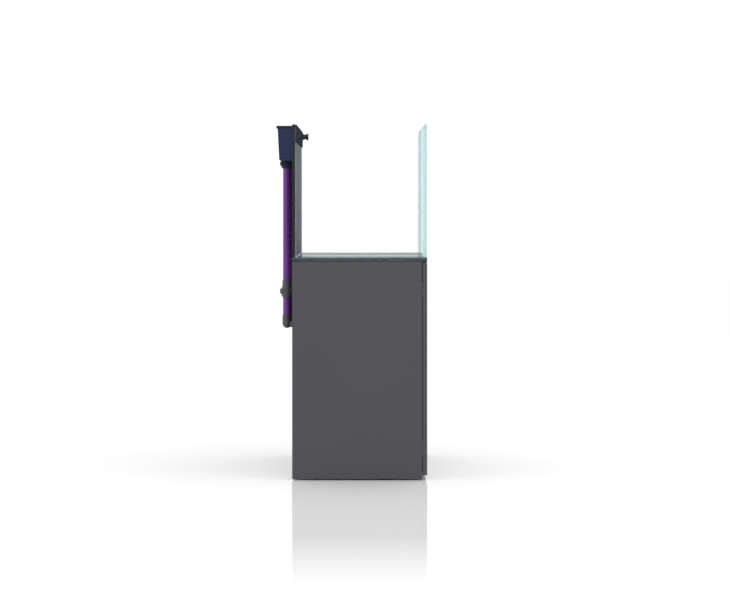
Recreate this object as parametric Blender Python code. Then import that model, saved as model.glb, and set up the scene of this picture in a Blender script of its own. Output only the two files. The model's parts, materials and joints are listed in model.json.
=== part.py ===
"""Rimless aquarium with an external rear overflow box, on a flat-panel cabinet stand.

Metres, +Z up. The origin is on the floor, under the middle of the whole object's box.
The doors face -Y, the overflow box and its pipes are behind the tank at +Y, and left is -X.
"""

import math

import bmesh
import bpy
from mathutils import Matrix, Vector

# ---- driving dimensions -------------------------------------------------------------------
SEAT = 0.0003  # gap left between two pieces that touch or are glued
SLIP = 0.0003  # radial clearance of a pipe in a socket, and of a turning piece on its seat

TANK_LENGTH = 0.900
TANK_DEPTH = 0.550
TANK_HEIGHT = 0.555
GLASS = 0.012
GLASS_ARRIS = 0.0008
SILICONE_LEG = 0.004
SILICONE_BELOW_RIM = 0.010

STAND_HEIGHT = 0.890
BOARD = 0.018
BOARD_ARRIS = 0.0008
MAT = 0.0044
DOOR_BOARD = 0.018
DOOR_GAP = 0.003  # between the door and the front edge of the side panels
DOOR_MEETING_GAP = 0.003
DOOR_DROP = 0.003  # the door's top edge below the stand's top
DOOR_CLEAR_OF_FLOOR = 0.020
BASE_CLEAR_OF_FLOOR = 0.020
BACK_RAIL = 0.100
FRONT_RAIL = 0.080
SERVICE_OPENING = 0.400  # width of the opening in the cabinet's back

FOOT_HEIGHT = 0.005
FOOT_RADIUS = 0.009
FOOT_EASE = 0.0011  # taper round the sole
FOOT_STEM_RADIUS = 0.004
FOOT_STEM = 0.030
FOOT_INSET = 0.072  # first and last foot, from the ends of the side panel

PIVOT_IN = 0.003  # door pivot, in from the side panel's outer face
PIVOT_BACK = 0.003  # and back from the door's front face
CUP_RADIUS = 0.0175
CUP_DEPTH = 0.0115
CUP_WALL = 0.0015
CUP_FLANGE_LIP = 0.0025
CUP_FLANGE = 0.0012
CUP_EDGE = 0.005  # door edge to the cup's bore
HINGE_INSET = 0.110  # hinge centre from the door's top and bottom edges
ARM_HEIGHT = 0.020
ARM_LENGTH = 0.060
ARM_REACH = 0.016
ARM_PLATE = 0.0035

LATCH_LENGTH = 0.050
LATCH_HEIGHT = 0.016
LATCH_SIDE_WALL = 0.006
PLUNGER_RADIUS = 0.0035
PLUNGER_LENGTH = 0.040
PLUNGER_OFF_CENTRE = 0.010

PIPE_RADIUS = 0.0167
PIPE_WALL = 0.0034
PIPE_SPACING = 0.220
SOCKET_WALL = 0.0027
SOCKET_DEPTH = 0.018

BOX_HALF_LENGTH = 0.240
BOX_WALL = 0.005
BOX_FLOOR = 0.008
BOX_HEIGHT = 0.136  # underside of the floor to underside of the lid
BOX_DRAFT = 0.0065  # how much further the rear wall stands out at its top
BOX_CHAMFER = 0.005
LID = 0.0100
LID_OVER_RIM = 0.002
LID_OVERHANG = 0.0055
LID_END_OVERHANG = 0.003
KNOB_HEIGHT = 0.010
KNOB_RADIUS = 0.0060
KNOB_NECK_RADIUS = 0.0042
KNOB_NECK = 0.004
KNOB_EASE = 0.0018
KNOB_FROM_PANE = 0.013

FLANGE = 0.005
FLANGE_LIP = 0.0025
FLANGE_CLEAR = 0.0005
NUT_GRIP = 0.0102
NUT_HEIGHT = 0.028
NUT_TAPER = 0.015  # height of its lower part, which narrows towards the pipe
NUT_RIM = 0.0012
NUT_CLEAR_OF_PANE = 0.0034
BULKHEAD_LENGTH = 0.030  # below the box floor

UNION_TOP_Z = 0.805
UNION_NUT_Z = 0.745
UNION_NUT_HEIGHT = 0.025
UNION_NUT_WALL = 0.0062
UNION_NUT_EASE = 0.0027
UNION_SKIRT = 0.008  # the nut's narrower end, below its grips
UNION_SKIRT_WALL = 0.0035
UNION_FLANGE_LIP = 0.0035
UNION_FLANGE = 0.006
UNION_TAIL = 0.016
ELBOW_AXIS_Z = 0.6203
ELBOW_HEIGHT = 0.038  # from the spigot's axis to the socket's mouth
ELBOW_WALL = 0.0022
ELBOW_SPIGOT = 0.124  # from the pipe's axis
ELBOW_SPIGOT_RADIUS = 0.0125
ELBOW_COLLAR = 0.003  # how far the spigot's collar stands out past the elbow's round body
RISER_THROAT = 0.0023
BEND_STEPS = 5

WEIR_DEPTH = 0.040  # notch in the rear pane, below the rim
WEIR_LEFT = -0.190
WEIR_RIGHT = 0.080
COMB_END_GAP = 0.0025  # from the silicone in the tank's corner
COMB_HEIGHT = 0.068
COMB = 0.006
COMB_BELOW_RIM = 0.001
COMB_SLOT = 0.004
COMB_PITCH = 0.0120
COMB_SLOT_DEPTH = 0.030

NOZZLE_BELOW_RIM = 0.033
NOZZLE_BALL = 0.0115
NOZZLE_BALL_OUT = 0.0195  # ball centre, in front of the rear pane's inner face
NOZZLE_REACH = 0.0395
NOZZLE_NECK = 0.0098
NOZZLE_FLARE = 0.0143
NOZZLE_LIP = 0.0020
NOZZLE_NECK_LENGTH = 0.0080  # from the ball's centre
NOZZLE_FLARE_LENGTH = 0.0110
NOZZLE_BORE_LENGTH = 0.0086
NOZZLE_BORE = 0.0055
COLLAR_RADIUS = 0.0138
COLLAR_LENGTH = 0.021
SPIGOT_RADIUS = 0.0100
SPIGOT_BORE = 0.0070

SEGMENTS = 20

# ---- places worked out from the dimensions ------------------------------------------------
BORE = PIPE_RADIUS - PIPE_WALL
SOCKET_BORE = PIPE_RADIUS + SLIP
BULKHEAD_RADIUS = SOCKET_BORE + SOCKET_WALL
FLANGE_RADIUS = BULKHEAD_RADIUS + FLANGE_LIP
NUT_RADIUS = BULKHEAD_RADIUS + NUT_GRIP
PIPE_STANDOFF = NUT_RADIUS + NUT_CLEAR_OF_PANE
BOX_DEPTH_LOW = PIPE_STANDOFF + FLANGE_RADIUS + FLANGE_CLEAR + BOX_WALL
BOX_DEPTH_HIGH = BOX_DEPTH_LOW + BOX_DRAFT
LID_REACH = BOX_DEPTH_HIGH + LID_OVERHANG
ELBOW_RADIUS = SOCKET_BORE + ELBOW_WALL
ELBOW_TOP = ELBOW_AXIS_Z + ELBOW_HEIGHT
RISER_BEND = PIPE_RADIUS + RISER_THROAT

HALF = TANK_LENGTH / 2
Y_REAR = (TANK_DEPTH - LID_REACH) / 2
Y_FRONT = Y_REAR - TANK_DEPTH
Y_DOOR_BACK = Y_FRONT + DOOR_BOARD
Y_EDGE = Y_DOOR_BACK + DOOR_GAP  # front edge of the side panels
Y_GLASS_FRONT = Y_FRONT + GLASS
Y_GLASS_REAR = Y_REAR - GLASS
Y_PIPE = Y_REAR + PIPE_STANDOFF

Z_BASE_TOP = BASE_CLEAR_OF_FLOOR + BOARD
Z_TOP_UNDER = STAND_HEIGHT - BOARD
Z_TANK = STAND_HEIGHT + MAT + 2 * SEAT
Z_WALL = Z_TANK + GLASS + SEAT
Z_RIM = Z_TANK + TANK_HEIGHT
Z_DOOR_TOP = STAND_HEIGHT - DOOR_DROP
Z_LID_UNDER = Z_RIM + LID_OVER_RIM - LID
Z_BOX_TOP = Z_LID_UNDER - SEAT
Z_BOX_UNDER = Z_BOX_TOP - BOX_HEIGHT
Z_BOX_FLOOR = Z_BOX_UNDER + BOX_FLOOR
Z_NOZZLE = Z_RIM - NOZZLE_BELOW_RIM

PIPE_LINES = {"drain": -PIPE_SPACING / 2, "return": PIPE_SPACING / 2}
SIDES = {"left": -1, "right": 1}
HINGE_LEVELS = {
    "lower": DOOR_CLEAR_OF_FLOOR + HINGE_INSET,
    "upper": Z_DOOR_TOP - HINGE_INSET,
}
MATERIALS = {}


# ---- modelling helpers --------------------------------------------------------------------
def clear_scene():
    for obj in list(bpy.data.objects):
        bpy.data.objects.remove(obj)


def material(name, colour, roughness, metallic=0.0, alpha=1.0):
    """Returns a Principled material, made once for each name."""
    if name not in MATERIALS:
        made = bpy.data.materials.new(name)
        made.use_nodes = True
        shader = made.node_tree.nodes["Principled BSDF"]
        shader.inputs["Base Color"].default_value = (*colour, 1.0)
        shader.inputs["Roughness"].default_value = roughness
        shader.inputs["Metallic"].default_value = metallic
        shader.inputs["Alpha"].default_value = alpha
        MATERIALS[name] = made
    return MATERIALS[name]


def lacquer():
    return material("satin_lacquer", (0.091, 0.089, 0.100), 0.45)


def clear_glass():
    return material("clear_glass", (0.62, 0.80, 0.80), 0.03, alpha=0.35)


def navy_acrylic():
    return material("navy_acrylic", (0.024, 0.040, 0.102), 0.25)


def black_plastic():
    return material("black_plastic", (0.020, 0.022, 0.030), 0.45)


def purple_pvc():
    return material("purple_pvc", (0.20, 0.09, 0.32), 0.30)


def grey_pvc():
    return material("grey_pvc", (0.090, 0.092, 0.100), 0.40)


def nickel():
    return material("nickel_plate", (0.55, 0.54, 0.52), 0.30, metallic=1.0)


def rubber():
    return material("black_rubber", (0.03, 0.03, 0.03), 0.80)


def silicone():
    return material("clear_silicone", (0.75, 0.80, 0.80), 0.35, alpha=0.5)


def finish(name, mesh_data, look, origin=(0, 0, 0)):
    """Links a bmesh as an object of this name, with its origin at the given point."""
    mesh = bpy.data.meshes.new(name)
    mesh_data.normal_update()
    mesh_data.to_mesh(mesh)
    mesh_data.free()
    mesh.transform(Matrix.Translation(-Vector(origin)))
    mesh.materials.append(look)
    obj = bpy.data.objects.new(name, mesh)
    obj.location = origin
    bpy.context.scene.collection.objects.link(obj)
    return obj


def soften(obj, width):
    if width > 0:
        bevel = obj.modifiers.new("arris", "BEVEL")
        bevel.width = width
        bevel.segments = 1
        bevel.limit_method = "ANGLE"
    return obj


def block(name, low, high, look, arris=0.0, origin=None):
    """A rectangular board or pane between two corners."""
    low, high = Vector(low), Vector(high)
    middle = (low + high) / 2
    shape = bmesh.new()
    bmesh.ops.create_cube(shape, size=1.0)
    bmesh.ops.scale(shape, vec=high - low, verts=shape.verts)
    bmesh.ops.translate(shape, vec=middle, verts=shape.verts)
    return soften(finish(name, shape, look, origin or middle), arris)


def prism(name, outline, start, length, look, plane="YZ", origin=(0, 0, 0)):
    """An outline extruded along X from the YZ plane, along Y from XZ, or along Z from XY."""
    places = {
        "YZ": lambda a, b: (start, a, b),
        "XZ": lambda a, b: (a, start, b),
        "XY": lambda a, b: (a, b, start),
    }
    along = {"YZ": (length, 0, 0), "XZ": (0, length, 0), "XY": (0, 0, length)}[plane]
    shape = bmesh.new()
    face = shape.faces.new([shape.verts.new(places[plane](a, b)) for a, b in outline])
    raised = bmesh.ops.extrude_face_region(shape, geom=[face])["geom"]
    moved = [item for item in raised if isinstance(item, bmesh.types.BMVert)]
    bmesh.ops.translate(shape, vec=along, verts=moved)
    bmesh.ops.recalc_face_normals(shape, faces=shape.faces)
    return finish(name, shape, look, origin)


def turned(name, profile, place, look, axis=(0, 0, 1), ring=True, segments=SEGMENTS):
    """A profile of (radius, height) points spun about an axis through place.

    ring closes the profile on itself, for a piece with a bore; otherwise it ends on the axis.
    """
    shape = bmesh.new()
    points = [shape.verts.new((radius, 0, height)) for radius, height in profile]
    pairs = list(zip(points, points[1:] + points[:1] if ring else points[1:]))
    edges = [shape.edges.new(pair) for pair in pairs]
    bmesh.ops.spin(
        shape,
        geom=points + edges,
        cent=(0, 0, 0),
        axis=(0, 0, 1),
        angle=math.tau,
        steps=segments,
        use_merge=True,
    )
    bmesh.ops.remove_doubles(shape, verts=shape.verts, dist=1e-6)
    bmesh.ops.recalc_face_normals(shape, faces=shape.faces)
    turn = Vector((0, 0, 1)).rotation_difference(Vector(axis)).to_matrix().to_4x4()
    shape.transform(Matrix.Translation(place) @ turn)
    obj = finish(name, shape, look, place)
    smooth(obj)
    return obj


def smooth(obj):
    obj.data.shade_smooth()
    obj.data.set_sharp_from_angle(angle=math.radians(35))


def rod(name, place, axis, length, radius):
    """A plain round cutter that starts at place and runs along axis."""
    profile = [(0, 0), (radius, 0), (radius, length), (0, length)]
    made = turned(name, profile, place, rubber(), axis, ring=False)
    made.hide_render = True
    made.display_type = "WIRE"
    return made


def cut(obj, cutter):
    made = obj.modifiers.new(cutter.name, "BOOLEAN")
    made.operation = "DIFFERENCE"
    made.solver = "EXACT"
    made.object = cutter


def fuse(obj, other):
    made = obj.modifiers.new(other.name, "BOOLEAN")
    made.operation = "UNION"
    made.solver = "EXACT"
    made.object = other


def hide(obj):
    obj.hide_render = True
    obj.display_type = "WIRE"
    return obj


# ---- cabinet ------------------------------------------------------------------------------
def foot_places():
    first = Y_EDGE + FOOT_INSET
    last = Y_REAR - FOOT_INSET
    return {"front": first, "middle": (first + last) / 2, "rear": last}


def cabinet():
    inner = HALF - BOARD
    fit = inner - SEAT
    look = lacquer()
    for side, sign in SIDES.items():
        ends = sorted((sign * HALF, sign * inner))
        low = (ends[0], Y_EDGE, FOOT_HEIGHT + SEAT)
        panel = block(f"{side}_side_panel", low, (ends[1], Y_REAR, STAND_HEIGHT), look, BOARD_ARRIS)
        for level, y in foot_places().items():
            top = FOOT_HEIGHT + FOOT_STEM + 2 * SEAT
            hole = rod(f"{side}_{level}_foot_hole", (sign * (HALF - BOARD / 2), y, 0), (0, 0, 1), top,
                       FOOT_STEM_RADIUS + SLIP)
            cut(panel, hole)
        back = sorted((sign * fit, sign * (SERVICE_OPENING / 2)))
        block(f"back_{side}_panel", (back[0], Y_REAR - BOARD, BASE_CLEAR_OF_FLOOR),
              (back[1], Y_REAR, Z_TOP_UNDER - SEAT), look, BOARD_ARRIS)
    block("base_panel", (-fit, Y_EDGE, BASE_CLEAR_OF_FLOOR), (fit, Y_REAR - BOARD - SEAT, Z_BASE_TOP), look,
          BOARD_ARRIS)
    block("top_panel", (-fit, Y_EDGE, Z_TOP_UNDER), (fit, Y_REAR, STAND_HEIGHT), look, BOARD_ARRIS)
    opening = SERVICE_OPENING / 2 - SEAT
    rail_top = Z_TOP_UNDER - SEAT
    block("back_top_rail", (-opening, Y_REAR - BOARD, rail_top - BACK_RAIL), (opening, Y_REAR, rail_top),
          look, BOARD_ARRIS)
    block("front_rail", (-fit, Y_EDGE, rail_top - FRONT_RAIL), (fit, Y_EDGE + BOARD, rail_top), look,
          BOARD_ARRIS)


def feet():
    """Plastic glides on threaded stems, turned to level the stand."""
    top = FOOT_HEIGHT + FOOT_STEM
    profile = [(0, 0), (FOOT_RADIUS - FOOT_EASE, 0), (FOOT_RADIUS, FOOT_EASE), (FOOT_RADIUS, FOOT_HEIGHT),
               (FOOT_STEM_RADIUS, FOOT_HEIGHT), (FOOT_STEM_RADIUS, top), (0, top)]
    for side, sign in SIDES.items():
        for level, y in foot_places().items():
            turned(f"{side}_{level}_foot", profile, (sign * (HALF - BOARD / 2), y, 0), black_plastic(),
                   ring=False)


def door_pivot(sign):
    return Vector((sign * (HALF - PIVOT_IN), Y_FRONT + PIVOT_BACK, 0))


def cup_place(sign, level):
    return Vector((sign * (HALF - CUP_EDGE - CUP_RADIUS), Y_DOOR_BACK, level))


def doors():
    for side, sign in SIDES.items():
        ends = sorted((sign * HALF, sign * DOOR_MEETING_GAP / 2))
        door = block(f"{side}_door", (ends[0], Y_FRONT, DOOR_CLEAR_OF_FLOOR),
                     (ends[1], Y_DOOR_BACK, Z_DOOR_TOP), lacquer(), BOARD_ARRIS,
                     origin=door_pivot(sign) + Vector((0, 0, DOOR_CLEAR_OF_FLOOR)))
        for name, level in HINGE_LEVELS.items():
            start = cup_place(sign, level) + Vector((0, SEAT, 0))
            cut(door, rod(f"{side}_{name}_cup_bore", start, (0, -1, 0), CUP_DEPTH + 2 * SEAT,
                          CUP_RADIUS + SLIP))


def hinges():
    """Concealed hinges: a cup let into the door, and an arm screwed to the side panel."""
    lip = CUP_RADIUS + CUP_FLANGE_LIP
    hollow = CUP_RADIUS - CUP_WALL
    cup = [(0, CUP_DEPTH), (CUP_RADIUS, CUP_DEPTH), (CUP_RADIUS, -SEAT), (lip, -SEAT),
           (lip, -SEAT - CUP_FLANGE), (hollow, -SEAT - CUP_FLANGE), (hollow, CUP_DEPTH - CUP_WALL),
           (0, CUP_DEPTH - CUP_WALL)]
    nose = DOOR_GAP - SEAT - CUP_FLANGE - 2 * SEAT  # how far the arm stands out past the panel's edge
    for side, sign in SIDES.items():
        face = sign * (HALF - BOARD - SEAT)
        outline = [(0, ARM_LENGTH), (0, BOARD), (ARM_PLATE, -nose), (ARM_REACH, -nose),
                   (ARM_REACH, ARM_LENGTH / 2), (ARM_PLATE, ARM_LENGTH)]
        points = [(face - sign * reach, Y_EDGE + back) for reach, back in outline]
        for name, level in HINGE_LEVELS.items():
            turned(f"{side}_{name}_hinge_cup", cup, cup_place(sign, level), nickel(), (0, -1, 0), ring=False)
            low = level - ARM_HEIGHT / 2
            prism(f"{side}_{name}_hinge_arm", points, low, ARM_HEIGHT, nickel(), "XY",
                  origin=(face, Y_EDGE, level))


def push_latch():
    """A double push-to-open latch under the front rail, one plunger for each door."""
    top = Z_TOP_UNDER - SEAT - FRONT_RAIL - SEAT
    half = PLUNGER_OFF_CENTRE + PLUNGER_RADIUS + LATCH_SIDE_WALL
    housing = block("latch_housing", (-half, Y_EDGE, top - LATCH_HEIGHT), (half, Y_EDGE + LATCH_LENGTH, top),
                    black_plastic(), BOARD_ARRIS)
    tip = Y_DOOR_BACK + SEAT
    for side, sign in SIDES.items():
        place = Vector((sign * PLUNGER_OFF_CENTRE, tip, top - LATCH_HEIGHT / 2))
        profile = [(0, 0), (PLUNGER_RADIUS, 0), (PLUNGER_RADIUS, PLUNGER_LENGTH), (0, PLUNGER_LENGTH)]
        turned(f"{side}_latch_plunger", profile, place, black_plastic(), (0, 1, 0), ring=False)
        cut(housing, rod(f"{side}_plunger_bore", place, (0, 1, 0), PLUNGER_LENGTH + SEAT,
                         PLUNGER_RADIUS + SLIP))


# ---- tank ---------------------------------------------------------------------------------
def tank():
    look = clear_glass()
    block("foam_mat", (-HALF, Y_FRONT, STAND_HEIGHT + SEAT), (HALF, Y_REAR, STAND_HEIGHT + SEAT + MAT),
          rubber())
    block("bottom_pane", (-HALF, Y_FRONT, Z_TANK), (HALF, Y_REAR, Z_TANK + GLASS), look, GLASS_ARRIS)
    block("front_pane", (-HALF, Y_FRONT, Z_WALL), (HALF, Y_GLASS_FRONT, Z_RIM), look, GLASS_ARRIS)
    for side, sign in SIDES.items():
        ends = sorted((sign * HALF, sign * (HALF - GLASS)))
        block(f"{side}_pane", (ends[0], Y_GLASS_FRONT + SEAT, Z_WALL), (ends[1], Y_GLASS_REAR - SEAT, Z_RIM),
              look, GLASS_ARRIS)
    rear = block("rear_pane", (-HALF, Y_GLASS_REAR, Z_WALL), (HALF, Y_REAR, Z_RIM), look, GLASS_ARRIS)
    past = GLASS
    notch = block("weir_notch", (WEIR_LEFT, Y_GLASS_REAR - past, Z_RIM - WEIR_DEPTH),
                  (WEIR_RIGHT, Y_REAR + past, Z_RIM + past), look)
    cut(rear, hide(notch))
    hole = rod("nozzle_hole", (PIPE_LINES["return"], Y_REAR + past, Z_NOZZLE), (0, -1, 0), GLASS + 2 * past,
               SPIGOT_RADIUS + SLIP)
    cut(rear, hole)
    silicone_seam()


def silicone_seam():
    """One bead round the bottom and up the four corners, a triangle in section.

    At each corner the uprights meet the mitre halfway up the bottom bead.
    """
    x_in = HALF - GLASS - SEAT
    front = Y_GLASS_FRONT + SEAT
    rear = Y_GLASS_REAR - SEAT
    low = Z_TANK + GLASS + SEAT
    leg = SILICONE_LEG
    top = Vector((0, 0, Z_RIM - SILICONE_BELOW_RIM - low))
    rise = Vector((0, 0, leg))
    shape = bmesh.new()
    corners = [Vector(place) for place in ((-x_in, front, low), (x_in, front, low), (x_in, rear, low),
                                           (-x_in, rear, low))]
    beads = []
    for index, corner in enumerate(corners):
        ahead = (corners[(index + 1) % 4] - corner).normalized() * leg
        behind = (corners[index - 1] - corner).normalized() * leg
        middle = (ahead + behind + rise) / 2
        places = (Vector(), ahead + behind, middle, ahead + rise, behind + rise, top, ahead + top,
                  behind + top)
        beads.append([shape.verts.new(corner + place) for place in places])
    for index, bead in enumerate(beads):
        inner_corner, foot, mitre, ahead, behind, tip, ahead_tip, behind_tip = bead
        after = beads[(index + 1) % 4]
        shape.faces.new((tip, ahead_tip, behind_tip))
        shape.faces.new((ahead_tip, ahead, mitre, behind, behind_tip))
        shape.faces.new((inner_corner, foot, after[1], after[0]))
        shape.faces.new((ahead, mitre, foot, after[1], after[2], after[4]))
        shape.faces.new((inner_corner, after[0], after[5], after[7], after[4], ahead, ahead_tip, tip))
    bmesh.ops.recalc_face_normals(shape, faces=shape.faces)
    finish("silicone_seam", shape, silicone(), (0, 0, low))


def weir_comb():
    """A slotted strip hung inside the rear pane, with teeth over the notch in the glass."""
    top = Z_RIM - COMB_BELOW_RIM
    low = top - COMB_HEIGHT
    half = HALF - GLASS - SILICONE_LEG - COMB_END_GAP
    bridge = COLLAR_RADIUS + 2 * SLIP + SEAT
    nozzle_x = PIPE_LINES["return"]
    outline = [(-half, low), (nozzle_x - bridge, low), (nozzle_x - bridge, Z_NOZZLE + bridge),
               (nozzle_x + bridge, Z_NOZZLE + bridge), (nozzle_x + bridge, low), (half, low), (half, top)]
    count = int((WEIR_RIGHT - WEIR_LEFT) / COMB_PITCH) - 1
    first = (WEIR_LEFT + WEIR_RIGHT) / 2 - (count - 1) * COMB_PITCH / 2
    for index in reversed(range(count)):
        x = first + index * COMB_PITCH
        right, left = x + COMB_SLOT / 2, x - COMB_SLOT / 2
        outline += [(right, top), (right, top - COMB_SLOT_DEPTH), (left, top - COMB_SLOT_DEPTH), (left, top)]
    outline.append((-half, top))
    rear = Y_GLASS_REAR - SEAT
    prism("weir_comb", outline, rear - COMB, COMB, black_plastic(), "XZ", origin=(0, rear, top))


# ---- overflow box -------------------------------------------------------------------------
def rear_wall_y(z):
    """Outer face of the box's rear wall at height z."""
    share = (z - Z_BOX_UNDER) / (Z_BOX_TOP - Z_BOX_UNDER)
    return Y_REAR + BOX_DEPTH_LOW + BOX_DRAFT * share


def overflow_box():
    look = navy_acrylic()
    front = Y_REAR + SEAT
    low_y, floor_y, top_y = (rear_wall_y(z) for z in (Z_BOX_UNDER, Z_BOX_FLOOR, Z_BOX_TOP))
    half = BOX_HALF_LENGTH
    floor_outline = [(front, Z_BOX_UNDER), (low_y - BOX_CHAMFER, Z_BOX_UNDER),
                     (low_y, Z_BOX_UNDER + BOX_CHAMFER), (floor_y, Z_BOX_FLOOR), (front, Z_BOX_FLOOR)]
    floor = prism("box_floor", floor_outline, -half, 2 * half, look, origin=(0, Y_REAR, Z_BOX_UNDER))
    for name, x in PIPE_LINES.items():
        cut(floor, rod(f"{name}_floor_hole", (x, Y_PIPE, Z_BOX_UNDER - BOX_FLOOR), (0, 0, 1), 3 * BOX_FLOOR,
                       BULKHEAD_RADIUS + SLIP))
    seat = Z_BOX_FLOOR + SEAT
    wall_outline = [(floor_y - BOX_WALL, seat), (floor_y, seat), (top_y, Z_BOX_TOP),
                    (top_y - BOX_WALL, Z_BOX_TOP)]
    prism("box_rear_wall", wall_outline, -half, 2 * half, look, origin=(0, Y_REAR, Z_BOX_UNDER))
    inside_low, inside_top = floor_y - BOX_WALL - SEAT, top_y - BOX_WALL - SEAT
    end_outline = [(front, seat), (inside_low, seat), (inside_top, Z_BOX_TOP), (front, Z_BOX_TOP)]
    for side, sign in SIDES.items():
        start = min(sign * half, sign * (half - BOX_WALL))
        prism(f"box_{side}_end", end_outline, start, BOX_WALL, look,
              origin=(sign * half, Y_REAR, Z_BOX_UNDER))
    across = half + LID_END_OVERHANG
    lid_low = (-across, Y_REAR + SEAT, Z_LID_UNDER)
    block("box_lid", lid_low, (across, Y_REAR + LID_REACH, Z_LID_UNDER + LID), look, 2 * BOARD_ARRIS)
    profile = [(0, SEAT), (KNOB_NECK_RADIUS, SEAT), (KNOB_NECK_RADIUS, KNOB_NECK),
               (KNOB_RADIUS, KNOB_NECK + KNOB_EASE), (KNOB_RADIUS, KNOB_HEIGHT - KNOB_EASE),
               (KNOB_NECK_RADIUS, KNOB_HEIGHT), (0, KNOB_HEIGHT)]
    turned("lid_knob", profile, (0, Y_REAR + KNOB_FROM_PANE, Z_LID_UNDER + LID), black_plastic(), ring=False)


# ---- plumbing -----------------------------------------------------------------------------
def pipe_line(name, x):
    """One pipe line: bulkhead, pipe, union, pipe and the elbow that enters the cabinet."""
    place = Vector((x, Y_PIPE, 0))
    end = Z_BOX_UNDER - BULKHEAD_LENGTH
    top = Z_BOX_FLOOR + SEAT + FLANGE
    shank = Z_BOX_FLOOR + SEAT
    body = [(SOCKET_BORE, top), (FLANGE_RADIUS, top), (FLANGE_RADIUS, shank), (BULKHEAD_RADIUS, shank),
            (BULKHEAD_RADIUS, end), (SOCKET_BORE, end), (SOCKET_BORE, end + SOCKET_DEPTH),
            (BORE, end + SOCKET_DEPTH), (BORE, top - SOCKET_DEPTH), (SOCKET_BORE, top - SOCKET_DEPTH)]
    turned(f"{name}_bulkhead", body, place, grey_pvc())
    nut_top = Z_BOX_UNDER - SEAT
    nut_low = nut_top - NUT_HEIGHT
    hole = BULKHEAD_RADIUS + SLIP
    nut = [(hole, nut_top), (NUT_RADIUS, nut_top), (NUT_RADIUS, nut_low + NUT_TAPER),
           (hole + NUT_RIM, nut_low), (hole, nut_low)]
    turned(f"{name}_bulkhead_nut", nut, place, grey_pvc())

    seat = UNION_TOP_Z - SOCKET_DEPTH + SEAT
    pipe(f"{name}_upper_pipe", place, seat, end + SOCKET_DEPTH - SEAT)
    union(name, place)
    tail_end = UNION_NUT_Z - UNION_TAIL
    pipe(f"{name}_lower_pipe", place, ELBOW_TOP - SOCKET_DEPTH + SEAT, tail_end + SOCKET_DEPTH - SEAT)
    elbow(f"{name}_elbow", x)


def pipe(name, place, low, high):
    profile = [(BORE, high), (PIPE_RADIUS, high), (PIPE_RADIUS, low), (BORE, low)]
    turned(name, profile, place, purple_pvc())


def union(name, place):
    """A pipe union: threaded body above, flanged tail below, and the nut that draws them together."""
    outer = SOCKET_BORE + SOCKET_WALL
    split = UNION_NUT_Z + UNION_FLANGE + 2 * SEAT + SLIP
    shoulder = UNION_NUT_Z + UNION_NUT_HEIGHT
    thread = outer + UNION_FLANGE_LIP
    stop = UNION_TOP_Z - SOCKET_DEPTH
    body = [(SOCKET_BORE, UNION_TOP_Z), (outer, UNION_TOP_Z), (outer, shoulder + SOCKET_DEPTH / 2),
            (thread, shoulder + SEAT), (thread, split), (BORE, split), (BORE, stop), (SOCKET_BORE, stop)]
    turned(f"{name}_union_body", body, place, grey_pvc())
    flange_top = split - SEAT
    flange_low = flange_top - UNION_FLANGE + SEAT
    end = UNION_NUT_Z - UNION_TAIL
    stop = end + SOCKET_DEPTH
    tail = [(BORE, flange_top), (thread - SLIP, flange_top), (thread - SLIP, flange_low), (outer, flange_low),
            (outer, end), (SOCKET_BORE, end), (SOCKET_BORE, stop), (BORE, stop)]
    turned(f"{name}_union_tail", tail, place, grey_pvc())
    low = UNION_NUT_Z
    ledge = flange_low - SEAT
    ease = UNION_NUT_EASE
    rim = thread + UNION_NUT_WALL
    skirt = outer + UNION_SKIRT_WALL
    nut = [(thread + SLIP, shoulder), (rim - ease, shoulder), (rim, shoulder - ease), (rim, low + ease),
           (skirt, low - ease), (skirt, low - UNION_SKIRT), (outer + SLIP, low - UNION_SKIRT),
           (outer + SLIP, ledge), (thread + SLIP, ledge)]
    turned(f"{name}_union_nut", nut, place, grey_pvc())


def swept(name, stations, look, origin):
    """A hollow piece through stations of (centre, direction, outer radius, inner radius)."""
    shape = bmesh.new()
    side = Vector((1, 0, 0))
    outers, inners = [], []
    for centre, direction, outer, inner in stations:
        across = direction.cross(side)
        for rings, radius in ((outers, outer), (inners, inner)):
            angles = [math.tau * step / SEGMENTS for step in range(SEGMENTS)]
            rings.append([shape.verts.new(centre + radius * (side * math.cos(a) + across * math.sin(a)))
                          for a in angles])
    loops = outers + inners[::-1]
    for one, two in zip(loops, loops[1:] + loops[:1]):
        for step in range(SEGMENTS):
            after = (step + 1) % SEGMENTS
            shape.faces.new((one[step], one[after], two[after], two[step]))
    bmesh.ops.recalc_face_normals(shape, faces=shape.faces)
    smooth(finish(name, shape, look, origin))


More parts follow.
